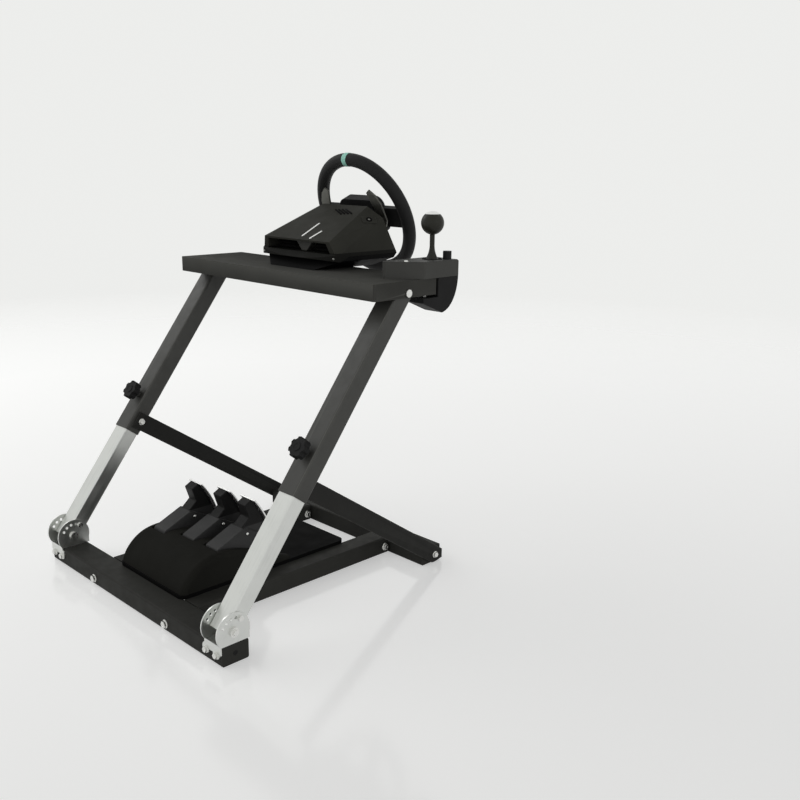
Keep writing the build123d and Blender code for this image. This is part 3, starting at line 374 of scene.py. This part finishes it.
for pedal in PEDALS:
    NODE_MATERIALS[pedal + "_pedal_arm"] = parted_shades(
        pedal + "_arm", (0.032, 0.032, 0.032), (0.007, 0.007, 0.007), ARM_SPLIT, 0.52
    )

# Finishes of single added pieces
STITCH_THREAD = thread("stitch_thread", (0.05, 0.05, 0.05))
BAND_LEATHER = leather("band_leather", (0.30, 0.60, 0.50))
# Near black: on the roof's vents it is painted shade standing in for the inside of slots; the intake's slats and
# the port's ring share it
LOUVRE_SHADE_PLASTIC = moulded("louvre_shade_plastic", (0.004, 0.004, 0.004), 0.60, specular=0.02)
DULL_STEEL = zinc("dull_steel", (0.22, 0.22, 0.21), 0.40)


def dress(name, slot):
    """Gives a CAD node its material and softens its edges."""
    obj = frame["nodes"][name]
    obj.data.materials.clear()
    obj.data.materials.append(NODE_MATERIALS.get(name, MATERIALS[slot]))
    weld = obj.modifiers.new("weld", "WELD")
    weld.merge_threshold = EDGE_WELD
    edges = obj.modifiers.new("edges", "BEVEL")
    edges.width = EDGE_WIDTHS[slot]
    edges.segments = EDGE_SEGMENTS
    edges.limit_method = "ANGLE"
    edges.angle_limit = EDGE_ANGLE
    edges.use_clamp_overlap = True
    normals = obj.modifiers.new("normals", "WEIGHTED_NORMAL")
    normals.keep_sharp = True


for part in frame["record"]["subparts"]:
    dress(part["node"], part["material_slot"])


def looking(place, direction, roll=0.0):
    """A camera or lamp's pose: its -Z along direction, its X level but for a roll in degrees."""
    forward = Vector(direction).normalized()
    right = forward.cross(UP).normalized()
    up = right.cross(forward)
    turn = math.radians(roll)
    x = right * math.cos(turn) + up * math.sin(turn)
    y = up * math.cos(turn) - right * math.sin(turn)
    axes = Matrix((x, y, -forward)).transposed()
    return Matrix.Translation(place) @ axes.to_4x4()


def add_camera():
    data = bpy.data.cameras.new("camera")
    data.sensor_fit = "HORIZONTAL"
    data.sensor_width = CAMERA_SENSOR
    data.lens = CAMERA_LENS
    data.clip_end = FLOOR_SIZE
    camera = bpy.data.objects.new("camera", data)
    bpy.context.collection.objects.link(camera)
    yaw = math.radians(CAMERA_YAW)
    pitch = math.radians(CAMERA_PITCH)
    direction = (
        math.cos(pitch) * math.cos(yaw), math.cos(pitch) * math.sin(yaw), -math.sin(pitch)
    )
    camera.matrix_world = looking(CAMERA_PLACE, direction, CAMERA_ROLL)
    bpy.context.scene.camera = camera


def add_lamps():
    for name, (place, target, size, power) in LAMPS.items():
        data = bpy.data.lights.new(name, "AREA")
        data.shape = "SQUARE"
        data.size = size
        data.energy = power
        lamp = bpy.data.objects.new(name, data)
        bpy.context.collection.objects.link(lamp)
        lamp.matrix_world = looking(Vector(place), Vector(target) - Vector(place))
        lamp.visible_glossy = name in MIRRORED_LAMPS


def seen_rays(tree):
    """1 for what the camera sees, straight, in a gloss or through glass; 0 for other light."""
    path = tree.nodes.new("ShaderNodeLightPath")
    total = path.outputs["Is Camera Ray"]
    for name in ("Is Glossy Ray", "Is Transmission Ray"):
        join = tree.nodes.new("ShaderNodeMath")
        join.operation = "MAXIMUM"
        tree.links.new(total, join.inputs[0])
        tree.links.new(path.outputs[name], join.inputs[1])
        total = join.outputs[0]
    return total


def add_world():
    world = bpy.data.worlds.new("studio")
    bpy.context.scene.world = world
    world.use_nodes = True
    tree = world.node_tree
    tree.nodes.clear()
    light = node(tree, "ShaderNodeBackground", Color=colour(WHITE), Strength=AMBIENT)
    seen = node(tree, "ShaderNodeBackground", Color=colour(BACKDROP), Strength=1.0)
    mix = tree.nodes.new("ShaderNodeMixShader")
    output = tree.nodes.new("ShaderNodeOutputWorld")
    tree.links.new(seen_rays(tree), mix.inputs["Fac"])
    tree.links.new(light.outputs["Background"], mix.inputs[1])
    tree.links.new(seen.outputs["Background"], mix.inputs[2])
    tree.links.new(mix.outputs["Shader"], output.inputs["Surface"])


def floor_material():
    """A pale glossy floor that fades into the backdrop away from the object."""
    material, tree, shader = start("floor", FLOOR_ROUGHNESS)
    tint(tree, shader, FLOOR_COLOUR, *FLOOR_TINT)
    shader.inputs["Emission Color"].default_value = colour(WHITE)
    glow = span(tree, seen_rays(tree), 0.0, FLOOR_GLOW)
    tree.links.new(glow, shader.inputs["Emission Strength"])
    place = tree.nodes.new("ShaderNodeTexCoord")
    away = tree.nodes.new("ShaderNodeVectorMath")
    away.operation = "LENGTH"
    tree.links.new(place.outputs["Object"], away.inputs[0])
    fade = span(tree, away.outputs["Value"], 0.0, 1.0, FLOOR_FADE)
    clear = tree.nodes.new("ShaderNodeBsdfTransparent")
    mix = tree.nodes.new("ShaderNodeMixShader")
    output = tree.nodes["Material Output"]
    tree.links.new(fade, mix.inputs["Fac"])
    tree.links.new(shader.outputs["BSDF"], mix.inputs[1])
    tree.links.new(clear.outputs["BSDF"], mix.inputs[2])
    tree.links.new(mix.outputs["Shader"], output.inputs["Surface"])
    return material


def add_floor():
    bm = bmesh.new()
    bmesh.ops.create_grid(bm, x_segments=1, y_segments=1, size=FLOOR_SIZE / 2)
    mesh = bpy.data.meshes.new("floor")
    bm.to_mesh(mesh)
    bm.free()
    mesh.materials.append(floor_material())
    floor = bpy.data.objects.new("floor", mesh)
    bpy.context.collection.objects.link(floor)
    floor.location = (0, FLOOR_MIDDLE_Y, cad_box[0][2])
    return floor


def spare(floor, lamps):
    """Keeps some lamps' light off the floor, where it would lie as bright patches."""
    skipped = bpy.data.collections.new("unlit")
    skipped.objects.link(floor)
    skipped.collection_objects[0].light_linking.link_state = "EXCLUDE"
    for name in lamps:
        bpy.data.objects[name].light_linking.receiver_collection = skipped


def add_piece(name, bm, body, slot, material=None):
    """Makes an object of a finished mesh, with a slot's material, that rides on a body."""
    bmesh.ops.recalc_face_normals(bm, faces=bm.faces)
    mesh = bpy.data.meshes.new(name)
    bm.to_mesh(mesh)
    bm.free()
    mesh.shade_smooth()
    mesh.set_sharp_from_angle(angle=SHARP_ANGLE)
    mesh.materials.append(material or MATERIALS[slot])
    obj = bpy.data.objects.new(name, mesh)
    bpy.context.collection.objects.link(obj)
    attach(obj, body)
    return obj


def joint(name):
    """A joint's anchor point and axis at rest."""
    found = next(entry for entry in frame["joints"] if entry["name"] == name)
    return Vector(found.get("pos_m", (0, 0, 0))), Vector(found["axis"]).normalized()


def seat(name, point):
    """The nearest place on a CAD node to a point, and the outward normal there."""
    _, place, normal, _ = frame["nodes"][name].closest_point_on_mesh(Vector(point))
    return place, normal


def far_end(name, point, axis):
    """The place on an axis as far out as a CAD node reaches along it."""
    reach = max((v.co - point).dot(axis) for v in frame["nodes"][name].data.vertices)
    return point + axis * reach


def facing(point, direction):
    """A frame at a point with its Z along a direction."""
    turn = Vector(direction).to_track_quat("Z", "Y")
    return Matrix.Translation(point) @ turn.to_matrix().to_4x4()


def standing(point, normal, turn=0.0):
    """A frame on a surface: Z along its normal, X along the world's but for a turn in degrees."""
    normal = Vector(normal).normalized()
    level = Vector((1, 0, 0))
    x = (level - normal * level.dot(normal)).normalized()
    axes = Matrix((x, normal.cross(x), normal)).transposed()
    return Matrix.Translation(point) @ axes.to_4x4() @ Matrix.Rotation(math.radians(turn), 4, "Z")


def shifted(place, spot):
    """A frame moved along its own X and Y, in millimetres."""
    return place @ Matrix.Translation((spot[0] * MM, spot[1] * MM, 0))


def sized(profile, unit=MM):
    """A profile's (radius, height) points in a unit, in metres."""
    return [(radius * unit, height * unit) for radius, height in profile]


def lathe(bm, profile, place, segments=32, closed=False):
    """Turns (radius, height) points about the place's Z axis."""
    rings = []
    for radius, height in profile:
        if radius == 0:
            rings.append([bm.verts.new(place @ Vector((0, 0, height)))])
            continue
        ring = []
        for i in range(segments):
            turn = 2 * math.pi * i / segments
            corner = Vector((radius * math.cos(turn), radius * math.sin(turn), height))
            ring.append(bm.verts.new(place @ corner))
        rings.append(ring)
    pairs = list(zip(rings, rings[1:]))
    if closed:
        pairs.append((rings[-1], rings[0]))
    for low, high in pairs:
        for i in range(segments):
            j = (i + 1) % segments
            below = [low[i % len(low)], low[j % len(low)]]
            above = [high[j % len(high)], high[i % len(high)]]
            bm.faces.new(list(dict.fromkeys(below + above)))


# The share of a plate's eased edge that its first, steeper step takes
EASE_STEP = 0.3


def plate(bm, outline, place, thickness, ease):
    """A plate of a closed (x, y) outline on the place's XY plane, its upper edge eased."""
    middle = sum((Vector(p) for p in outline), Vector((0, 0))) / len(outline)
    step = EASE_STEP * ease
    layers = [(0, -ease), (0, thickness - ease), (step, thickness - step), (ease, thickness)]
    rings = []
    for inset, height in layers:
        ring = []
        for p in outline:
            q = Vector(p) - (Vector(p) - middle).normalized() * inset
            ring.append(bm.verts.new(place @ Vector((q.x, q.y, height))))
        rings.append(ring)
    for low, high in zip(rings, rings[1:]):
        for i in range(len(outline)):
            j = (i + 1) % len(outline)
            bm.faces.new((low[i], low[j], high[j], high[i]))
    bm.faces.new(rings[0][::-1])
    bm.faces.new(rings[-1])


def rounded(width, height, radius, steps=5):
    """The outline of a rectangle with rounded corners."""
    points = []
    for cx, cy, first in ((1, 1, 0), (-1, 1, 90), (-1, -1, 180), (1, -1, 270)):
        for step in range(steps + 1):
            turn = math.radians(first + 90 * step / steps)
            x = cx * (width / 2 - radius) + radius * math.cos(turn)
            points.append((x, cy * (height / 2 - radius) + radius * math.sin(turn)))
    return points


# Hex bolts: the head, its radius to the corners, the dimple in its end and the washer under it
BOLT_HEAD = 7.5 * MM
BOLT_HEIGHT = 5.3 * MM
BOLT_CHAMFER = 0.8 * MM
BOLT_SIDES = 6
DIMPLE_MOUTH = BOLT_HEAD * 0.45
DIMPLE_FLOOR = BOLT_HEAD * 0.40
DIMPLE_DEPTH = 0.5 * MM
WASHER_RADIUS = 9.0 * MM
WASHER_EASE = 0.5 * MM
WASHER_THICKNESS = 1.6 * MM
WASHER_EDGE = WASHER_THICKNESS * 0.7
BOLT_TOP = WASHER_THICKNESS + BOLT_HEIGHT
WASHER_PROFILE = [
    (0, 0), (WASHER_RADIUS, 0), (WASHER_RADIUS, WASHER_EDGE),
    (WASHER_RADIUS - WASHER_EASE, WASHER_THICKNESS), (0, WASHER_THICKNESS),
]
BOLT_PROFILE = [
    (0, WASHER_THICKNESS), (BOLT_HEAD, WASHER_THICKNESS), (BOLT_HEAD, BOLT_TOP - BOLT_CHAMFER),
    (BOLT_HEAD - BOLT_CHAMFER, BOLT_TOP), (DIMPLE_MOUTH, BOLT_TOP),
    (DIMPLE_FLOOR, BOLT_TOP - DIMPLE_DEPTH), (0, BOLT_TOP - DIMPLE_DEPTH),
]


def hex_bolt(bm, point, direction, scale=1.0):
    """A hex head on a plain washer, with the end of its thread marked by a shallow dimple."""
    place = facing(point, direction) @ Matrix.Scale(scale, 4)
    lathe(bm, WASHER_PROFILE, place)
    lathe(bm, BOLT_PROFILE, place, BOLT_SIDES)


# Button screws: the dome's angles, and the rest as shares of the head's radius and height
SCREW_HEIGHT = 0.62
SCREW_DOME = (0, 20, 40, 58, 68)
SOCKET_RADIUS = 0.34
SOCKET_RIM = 0.94
SOCKET_FLOOR = 0.4


def cap_screw(bm, point, direction, radius):
    """A round button head with a round socket."""
    height = radius * SCREW_HEIGHT
    socket = radius * SOCKET_RADIUS
    floor = height * SOCKET_FLOOR
    profile = [(0, 0)]
    for angle in SCREW_DOME:
        turn = math.radians(angle)
        profile.append((radius * math.cos(turn), height * math.sin(turn)))
    profile += [(socket, height * SOCKET_RIM), (socket, floor), (0, floor)]
    lathe(bm, profile, facing(point, direction))


# Fasteners of the frame
FRAME_BOLT_Z = 15.5 * MM
TAB_SHEET = 3.0 * MM
TAB_BOLT_X = (291 * MM, 324 * MM)
TAB_BOLT_Z = 21.5 * MM
TAB_BOLT_SCALE = 0.8
RAIL_BOLT_FROM_END = 11.0 * MM
RAIL_BOLT_Z = 17.0 * MM
STRUT_BOLT_FROM_END = 13.0 * MM
STRUT_BOLT_SCALE = 0.85
STRUT_TIP = 4.0 * MM
PIVOT_NUT_SCALE = 0.75

# The mark on a tube cap, in shares of its radius, and the cap of a leg knob in millimetres
CAP_SPOT_RADIUS = 5.0 * MM
CAP_SPOT = [(0, 0), (1, 0), (1, 0.1), (0.88, 0.18), (0.7, 0.18), (0.62, 0.08), (0, 0.05)]
LEG_KNOB_CAP = [(0, -0.5), (9.5, -0.5), (9.5, 0.8), (8.8, 1.4), (7.2, 1.4), (6.6, 0.8), (0, 0.7)]


def add_frame_bolts():
    """Hex bolts on the front tube, the rails, the leg pivots and the struts' lower ends."""
    bm = bmesh.new()
    front_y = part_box("front_cross_tube")[1].y
    for name, side in (("left_rail", -1), ("right_rail", 1)):
        low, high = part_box(name)
        hex_bolt(bm, ((low.x + high.x) / 2, front_y, FRAME_BOLT_Z), (0, 1, 0))
        end_y = low.y + RAIL_BOLT_FROM_END
        hex_bolt(bm, (low.x, end_y, RAIL_BOLT_Z), (-1, 0, 0))
        hex_bolt(bm, (high.x, end_y, RAIL_BOLT_Z), (1, 0, 0))
        for x in TAB_BOLT_X:
            hex_bolt(bm, (side * x, front_y + TAB_SHEET, TAB_BOLT_Z), (0, 1, 0), TAB_BOLT_SCALE)
    pin = joint("strut_swing")[0]
    low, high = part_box("leg_pivot_bolts")
    for name, side in (("left_strut", 0), ("right_strut", 1)):
        outward = (2 * side - 1, 0, 0)
        hex_bolt(bm, (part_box(name)[side].x, pin.y, pin.z), outward, STRUT_BOLT_SCALE)
        pivot = ((low, high)[side].x, (low.y + high.y) / 2, (low.z + high.z) / 2)
        hex_bolt(bm, pivot, outward, PIVOT_NUT_SCALE)
    add_piece("frame_bolts", bm, "base_frame", "bolt_steel")


def add_strut_bolts():
    """The bolts at the struts' upper ends, on the faces that look inward."""
    bm = bmesh.new()
    pin = joint("strut_swing")[0]
    for name, side in (("left_strut", 1), ("right_strut", 0)):
        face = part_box(name)[side].x
        ends = [Vector((0, v.co.y, v.co.z)) for v in frame["nodes"][name].data.vertices]
        reach = max((end - pin).length for end in ends)
        tops = [end for end in ends if (end - pin).length > reach - STRUT_TIP]
        along = (sum(tops, Vector()) / len(tops) - pin).normalized()
        top = max((end - pin).dot(along) for end in ends)
        place = pin + along * (top - STRUT_BOLT_FROM_END)
        hex_bolt(bm, (face, place.y, place.z), (2 * side - 1, 0, 0), STRUT_BOLT_SCALE)
    add_piece("strut_bolts", bm, "struts", "bolt_steel")


def add_cap_spots():
    """The moulding mark in the middle of each front tube cap."""
    bm = bmesh.new()
    low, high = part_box("front_tube_caps")
    middle = (low + high) / 2
    for x, outward in ((low.x, -1), (high.x, 1)):
        place = facing((x, middle.y, middle.z), (outward, 0, 0))
        lathe(bm, sized(CAP_SPOT, CAP_SPOT_RADIUS), place)
    add_piece("cap_spots", bm, "base_frame", "black_plastic")


def add_knob_caps():
    """The pressed cap in the face of each leg knob."""
    for side in ("left", "right"):
        anchor, axis = joint(side + "_knob_turn")
        bm = bmesh.new()
        place = facing(far_end(side + "_leg_knob", anchor, axis), axis)
        lathe(bm, sized(LEG_KNOB_CAP), place)
        add_piece(side + "_knob_cap", bm, side + "_knob", "black_plastic")


# Steering wheel: the rim's tube and its inner seam
RIM_TUBE = 15.0 * MM
RIM_STEPS = 180
RIM_SIDES = 40
SEAM_DEPTH = 1.0 * MM
SEAM_WIDTH = math.radians(14)

# Stitches across the seam, each a bead in shares of its radius and length
STITCHES = 132
STITCH_LENGTH = 3.2 * MM
STITCH_RADIUS = 0.75 * MM
STITCH_SLANT = math.radians(24)
STITCH_RISE = SEAM_DEPTH * 0.45
STITCH_SIDES = 8
STITCH_BEAD = [(0, -1.0), (0.7, -0.75), (1.0, -0.3), (1.0, 0.3), (0.7, 0.75), (0, 1.0)]

# The coloured band: its section along the rim, in shares of half its width and of its rise
BAND_WIDTH = 13.0 * MM
BAND_RISE = 0.5 * MM
BAND_SECTION = [
    (-1, -1.0), (-1, 0.5), (-0.9, 1.0), (-0.3, 1.0), (0.3, 1.0), (0.9, 1.0), (1, 0.5), (1, -1.0),
]
BAND_ANGLE = math.pi / 2

WHEEL_CENTRE, WHEEL_BACK = joint("steering")
WHEEL = standing(WHEEL_CENTRE, WHEEL_BACK)
RIM_RADIUS = (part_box("wheel_rim")[1].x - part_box("wheel_rim")[0].x) / 2 - RIM_TUBE


def hoop(bm, stations, groove=0.0):
    """A closed tube on the rim's circle, by (angle, tube radius), grooved along its inner seam."""
    rings = []
    for angle, tube in stations:
        out = Vector((math.cos(angle), math.sin(angle), 0))
        ring = []
        for i in range(RIM_SIDES):
            turn = 2 * math.pi * i / RIM_SIDES
            seam = max(0.0, 1 - abs(turn - math.pi) / SEAM_WIDTH)
            across = out * math.cos(turn) + Vector((0, 0, math.sin(turn)))
            point = out * RIM_RADIUS + across * (tube - groove * seam)
            ring.append(bm.verts.new(WHEEL @ point))
        rings.append(ring)
    for low, high in zip(rings, rings[1:] + rings[:1]):
        for i in range(RIM_SIDES):
            j = (i + 1) % RIM_SIDES
            bm.faces.new((low[i], low[j], high[j], high[i]))


def add_rim():
    """The leather rim with its inner seam and stitches, and the coloured band at its top."""
    bm = bmesh.new()
    hoop(bm, [(2 * math.pi * i / RIM_STEPS, RIM_TUBE) for i in range(RIM_STEPS)], SEAM_DEPTH)
    rim = add_piece("rim_cover", bm, "steering_wheel", "rim_leather")
    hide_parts("wheel_rim")

    bm = bmesh.new()
    bead = [(r * STITCH_RADIUS, h * STITCH_LENGTH) for r, h in STITCH_BEAD]
    inner = Matrix.Translation((RIM_RADIUS - RIM_TUBE + STITCH_RISE, 0, 0))
    for i in range(STITCHES):
        place = Matrix.Rotation(2 * math.pi * i / STITCHES, 4, "Z") @ inner
        slant = STITCH_SLANT if i % 2 else -STITCH_SLANT
        lathe(bm, bead, WHEEL @ place @ Matrix.Rotation(slant, 4, "X"), STITCH_SIDES)
    add_piece("rim_stitches", bm, "steering_wheel", "rim_leather", STITCH_THREAD)

    bm = bmesh.new()
    half = BAND_WIDTH / 2 / RIM_RADIUS
    stations = []
    for along, rise in BAND_SECTION:
        stations.append((BAND_ANGLE + along * half, RIM_TUBE + rise * BAND_RISE))
    hoop(bm, stations)
    add_piece("rim_band", bm, "steering_wheel", "rim_leather", BAND_LEATHER)


# The hub's centre pad and the plate under it; plates are (thickness, eased edge)
PAD_SIZE = (60 * MM, 46 * MM)
PAD_CORNER = 13 * MM
PAD_PLATE = (4.0 * MM, 1.6 * MM)
PAD_MARGIN = 6 * MM
PAD_BASE_CORNER = 15 * MM
PAD_BASE_PLATE = (1.2 * MM, 0.6 * MM)

# Controls on the hub's face, as (x, y) in millimetres; buttons are in shares of their radius
BUTTON_RADIUS = 5.2 * MM
BUTTON_PLACES = [(48, 27), (52, 10), (-48, 27), (-52, 10)]
BUTTON_RING = [(1.0, -0.1), (1.45, -0.1), (1.45, 0.18), (1.3, 0.3), (1.1, 0.3), (1.0, 0.2)]
BUTTON_CAP = [(0, -0.1), (0.92, -0.1), (0.92, 0.42), (0.84, 0.56), (0.6, 0.64), (0, 0.66)]
CROSS_PLACE = (-50, -17)
CROSS_ARM = 10 * MM
CROSS_HALF_WIDTH = 3.4 * MM
CROSS_PLATE = (3.2 * MM, 0.5 * MM)
DIAL_PLACE = (50, -17)
DIAL = [(0, -0.5), (10, -0.5), (10, 4.4), (9.2, 5.4), (7.4, 5.6), (6.8, 5.0), (0, 4.8)]
DIAL_SIDES = 18
HUB_SCREW_PLACES = [(34, 32), (-34, 32), (34, -32), (-34, -32)]
HUB_SCREW_RADIUS = 2.6 * MM


def add_hub_controls():
    """A plain centre pad, round buttons, a direction cross, a dial and screws on the hub's face."""
    hub = standing(far_end("wheel_hub", WHEEL_CENTRE, WHEEL_BACK), WHEEL_BACK)

    bm = bmesh.new()
    base = rounded(PAD_SIZE[0] + PAD_MARGIN, PAD_SIZE[1] + PAD_MARGIN, PAD_BASE_CORNER)
    plate(bm, base, hub, *PAD_BASE_PLATE)
    plate(bm, rounded(*PAD_SIZE, PAD_CORNER), hub, *PAD_PLATE)
    for spot in BUTTON_PLACES:
        lathe(bm, sized(BUTTON_RING, BUTTON_RADIUS), shifted(hub, spot), closed=True)
    add_piece("hub_pads", bm, "steering_wheel", "wheel_plastic")

    bm = bmesh.new()
    for spot in BUTTON_PLACES:
        lathe(bm, sized(BUTTON_CAP, BUTTON_RADIUS), shifted(hub, spot))
    arm, wide = CROSS_ARM, CROSS_HALF_WIDTH
    cross = [
        (arm, wide), (wide, wide), (wide, arm), (-wide, arm), (-wide, wide), (-arm, wide),
        (-arm, -wide), (-wide, -wide), (-wide, -arm), (wide, -arm), (wide, -wide), (arm, -wide),
    ]
    plate(bm, cross, shifted(hub, CROSS_PLACE), *CROSS_PLATE)
    lathe(bm, sized(DIAL), shifted(hub, DIAL_PLACE), DIAL_SIDES)
    add_piece("hub_buttons", bm, "steering_wheel", "grey_plastic")

    bm = bmesh.new()
    for spot in HUB_SCREW_PLACES:
        cap_screw(bm, shifted(hub, spot).translation, WHEEL_BACK, HUB_SCREW_RADIUS)
    add_piece("hub_screws", bm, "steering_wheel", "bolt_steel")


# Wheel base: slanted vents and bright strips on its roof; strips are (point, length, turn)
VENT_COUNT = 4
VENT_FIRST = Vector((-20.3, -537.2, 790)) * MM
VENT_STEP = Vector((-10.1, -1.8, 0)) * MM
VENT_SIZE = (3.6 * MM, 44 * MM)
VENT_CORNER = 1.3 * MM
VENT_PLATE = (1.5 * MM, 0.7 * MM)
VENT_SLANT = 64.0
STRIPS = [
    (Vector((-15, -460, 754)) * MM, 60 * MM, 3.0),
    (Vector((-52, -443, 745)) * MM, 36 * MM, -8.0),
]
STRIP_WIDTH = 4.6 * MM
STRIP_CORNER = 1.5 * MM
STRIP_PLATE = (1.0 * MM, 0.5 * MM)

# A port on its flank, with a ring and a button in millimetres, and the screws in its lip
PORT_PLACE = Vector((-112, -545, 776)) * MM
PORT_SIZE = (34 * MM, 23 * MM)
PORT_CORNER = 4 * MM
PORT_PLATE = (1.6 * MM, 0.8 * MM)
PORT_TURN = 58.0
PORT_BUTTON_PLACE = (0.5, 0.5)
PORT_RING = [(4.0, 0.8), (7.0, 0.8), (7.0, 2.2), (6.4, 2.8), (4.8, 2.8), (4.0, 2.0)]
PORT_BUTTON = [(0, 1), (2.6, 1), (2.4, 2.4), (1.5, 3), (0, 3.2)]
LIP_SCREW = Vector((122, -421, 700)) * MM
LIP_SCREW_RADIUS = 3.2 * MM

# Slats in its intake: their heights as shares of the divider's, and their reach from its middle
SLAT_SHARES = (0.34, 0.67)
SLAT_X = (33 * MM, 95 * MM)
SLAT_DEPTH = 16 * MM
SLAT_CORNER = 2 * MM
SLAT_PLATE = (1.4 * MM, 0.4 * MM)
SLAT_TILT = math.radians(-18)


def add_base_details():
    """Vents, bright strips, a port and screws on the wheel base, and slats in its intake."""
    port = standing(*seat("wheel_base_shell", PORT_PLACE), PORT_TURN)
    button = shifted(port, PORT_BUTTON_PLACE)

    bm = bmesh.new()
    # Vents as near-black raised plates, whose black is the painted shade of open slots
    for i in range(VENT_COUNT):
        place = standing(*seat("wheel_base_shell", VENT_FIRST + VENT_STEP * i), VENT_SLANT)
        plate(bm, rounded(*VENT_SIZE, VENT_CORNER), place, *VENT_PLATE)
    lathe(bm, sized(PORT_RING), button, closed=True)
    low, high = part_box("wheel_base_divider")
    slat = rounded(SLAT_X[1] - SLAT_X[0], SLAT_DEPTH, SLAT_CORNER)
    for share in SLAT_SHARES:
        z = low.z + (high.z - low.z) * share
        for side in (-1, 1):
            x = (low.x + high.x) / 2 + side * sum(SLAT_X) / 2
            middle = Matrix.Translation((x, low.y + SLAT_DEPTH, z))
            plate(bm, slat, middle @ Matrix.Rotation(SLAT_TILT, 4, "X"), *SLAT_PLATE)
    add_piece("base_louvres", bm, "table", "black_plastic", LOUVRE_SHADE_PLASTIC)

    bm = bmesh.new()
    plate(bm, rounded(*PORT_SIZE, PORT_CORNER), port, *PORT_PLATE)
    add_piece("base_port", bm, "table", "shell_plastic")

    bm = bmesh.new()
    for point, length, turn in STRIPS:
        place = standing(*seat("wheel_base_shell", point), turn)
        plate(bm, rounded(STRIP_WIDTH, length, STRIP_CORNER), place, *STRIP_PLATE)
    add_piece("base_strips", bm, "table", "pad_metal")

    bm = bmesh.new()
    lathe(bm, sized(PORT_BUTTON), button)
    for side in (-1, 1):
        point = (WHEEL_CENTRE.x + side * LIP_SCREW.x, LIP_SCREW.y, LIP_SCREW.z)
        cap_screw(bm, *seat("wheel_base_shell", point), LIP_SCREW_RADIUS)
    add_piece("base_screws", bm, "table", "bolt_steel", DULL_STEEL)


# Shifter: the ring round the lever in millimetres, and the cover plate's screws as (x, y)
ROUND_SIDES = 48
LEVER_RING = [(19.2, -0.3), (21.3, -0.3), (21.3, 1.2), (20.8, 1.9), (19.7, 1.9), (19.2, 1.3)]
PLATE_SCREWS = [(-313, -461), (-288, -560)]
PLATE_SCREW_RADIUS = 4.6 * MM

# The gear knob's bright top: its flat's height over the ball's middle, and the cap over the flat
KNOB_FLAT = 19.0 * MM
KNOB_CAP_EDGE = 16.0 * MM
KNOB_CAP_LIP = 1.0 * MM
KNOB_CAP_RISE = 0.3 * MM
KNOB_CAP_SUNK = 2.0 * MM
KNOB_CAP_STEPS = 8


def add_shifter_details():
    """The ring round the lever, the cover plate's screws and the bright top of the knob's ball."""
    pivot = joint("shift_side")[0]
    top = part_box("shifter_cover_plate")[1].z
    bm = bmesh.new()
    place = Matrix.Translation((pivot.x, pivot.y, top))
    lathe(bm, sized(LEVER_RING), place, ROUND_SIDES, closed=True)
    add_piece("lever_ring", bm, "table", "black_plastic")

    bm = bmesh.new()
    for x, y in PLATE_SCREWS:
        cap_screw(bm, (x * MM, y * MM, top), UP, PLATE_SCREW_RADIUS)
    add_piece("plate_screws", bm, "table", "bolt_steel")

    bm = bmesh.new()
    low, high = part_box("gear_knob")
    ball = (high.x - low.x) / 2 + KNOB_CAP_RISE
    first = math.acos(KNOB_CAP_EDGE / ball)
    bottom = KNOB_FLAT - KNOB_CAP_SUNK
    profile = [(0, bottom), (KNOB_CAP_EDGE - KNOB_CAP_LIP, bottom)]
    for step in range(KNOB_CAP_STEPS):
        turn = first + (math.pi / 2 - first) * step / KNOB_CAP_STEPS
        profile.append((ball * math.cos(turn), ball * math.sin(turn)))
    profile.append((0, ball))
    middle = far_end("gear_knob", pivot, UP) - UP * KNOB_FLAT
    lathe(bm, profile, Matrix.Translation(middle), ROUND_SIDES)
    add_piece("knob_plate", bm, "gear_lever", "pad_metal")


# Pedals: the pads' studs in millimetres, their rows as shares of the pad's height, and a screw
# through each arm, from its pivot
STUD = [(0, -0.6), (4.4, -0.6), (4.4, 0.4), (3.8, 1.2), (2.2, 1.7), (0, 1.8)]
STUD_SIDES = 18
STUD_COLUMNS = (-14 * MM, 0, 14 * MM)
STUD_ROWS = (0.16, 0.39, 0.62, 0.85)
ARM_SCREW = Vector((0, 9, 58)) * MM
ARM_SCREW_RADIUS = 3.6 * MM


def add_pedal_details():
    """Rubber studs on each pad and a screw through each arm."""
    for name in PEDALS:
        body = name + "_pedal"
        pad = frame["nodes"][body + "_pad"]
        low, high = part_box(body + "_pad")
        middle = (low + high) / 2
        bm = bmesh.new()
        for share in STUD_ROWS:
            for column in STUD_COLUMNS:
                z = low.z + (high.z - low.z) * share
                point = Vector((middle.x + column, low.y - (high.y - low.y), z))
                _, place, normal, _ = pad.ray_cast(point, Vector((0, 1, 0)))
                lathe(bm, sized(STUD), facing(place, normal), STUD_SIDES)
        add_piece(name + "_pad_studs", bm, body, "pedal_plastic")

        bm = bmesh.new()
        spot = joint(name + "_press")[0] + ARM_SCREW
        low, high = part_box(body + "_arm")
        for x, outward in ((low.x, -1), (high.x, 1)):
            cap_screw(bm, (x, spot.y, spot.z), (outward, 0, 0), ARM_SCREW_RADIUS)
        add_piece(name + "_arm_screws", bm, body, "bolt_steel")


add_frame_bolts()
add_strut_bolts()
add_cap_spots()
add_knob_caps()
add_rim()
add_hub_controls()
add_base_details()
add_shifter_details()
add_pedal_details()
add_camera()
add_lamps()
add_world()
spare(add_floor(), LAMPS_OFF_FLOOR)

bpy.context.scene.view_settings.view_transform = "Standard"
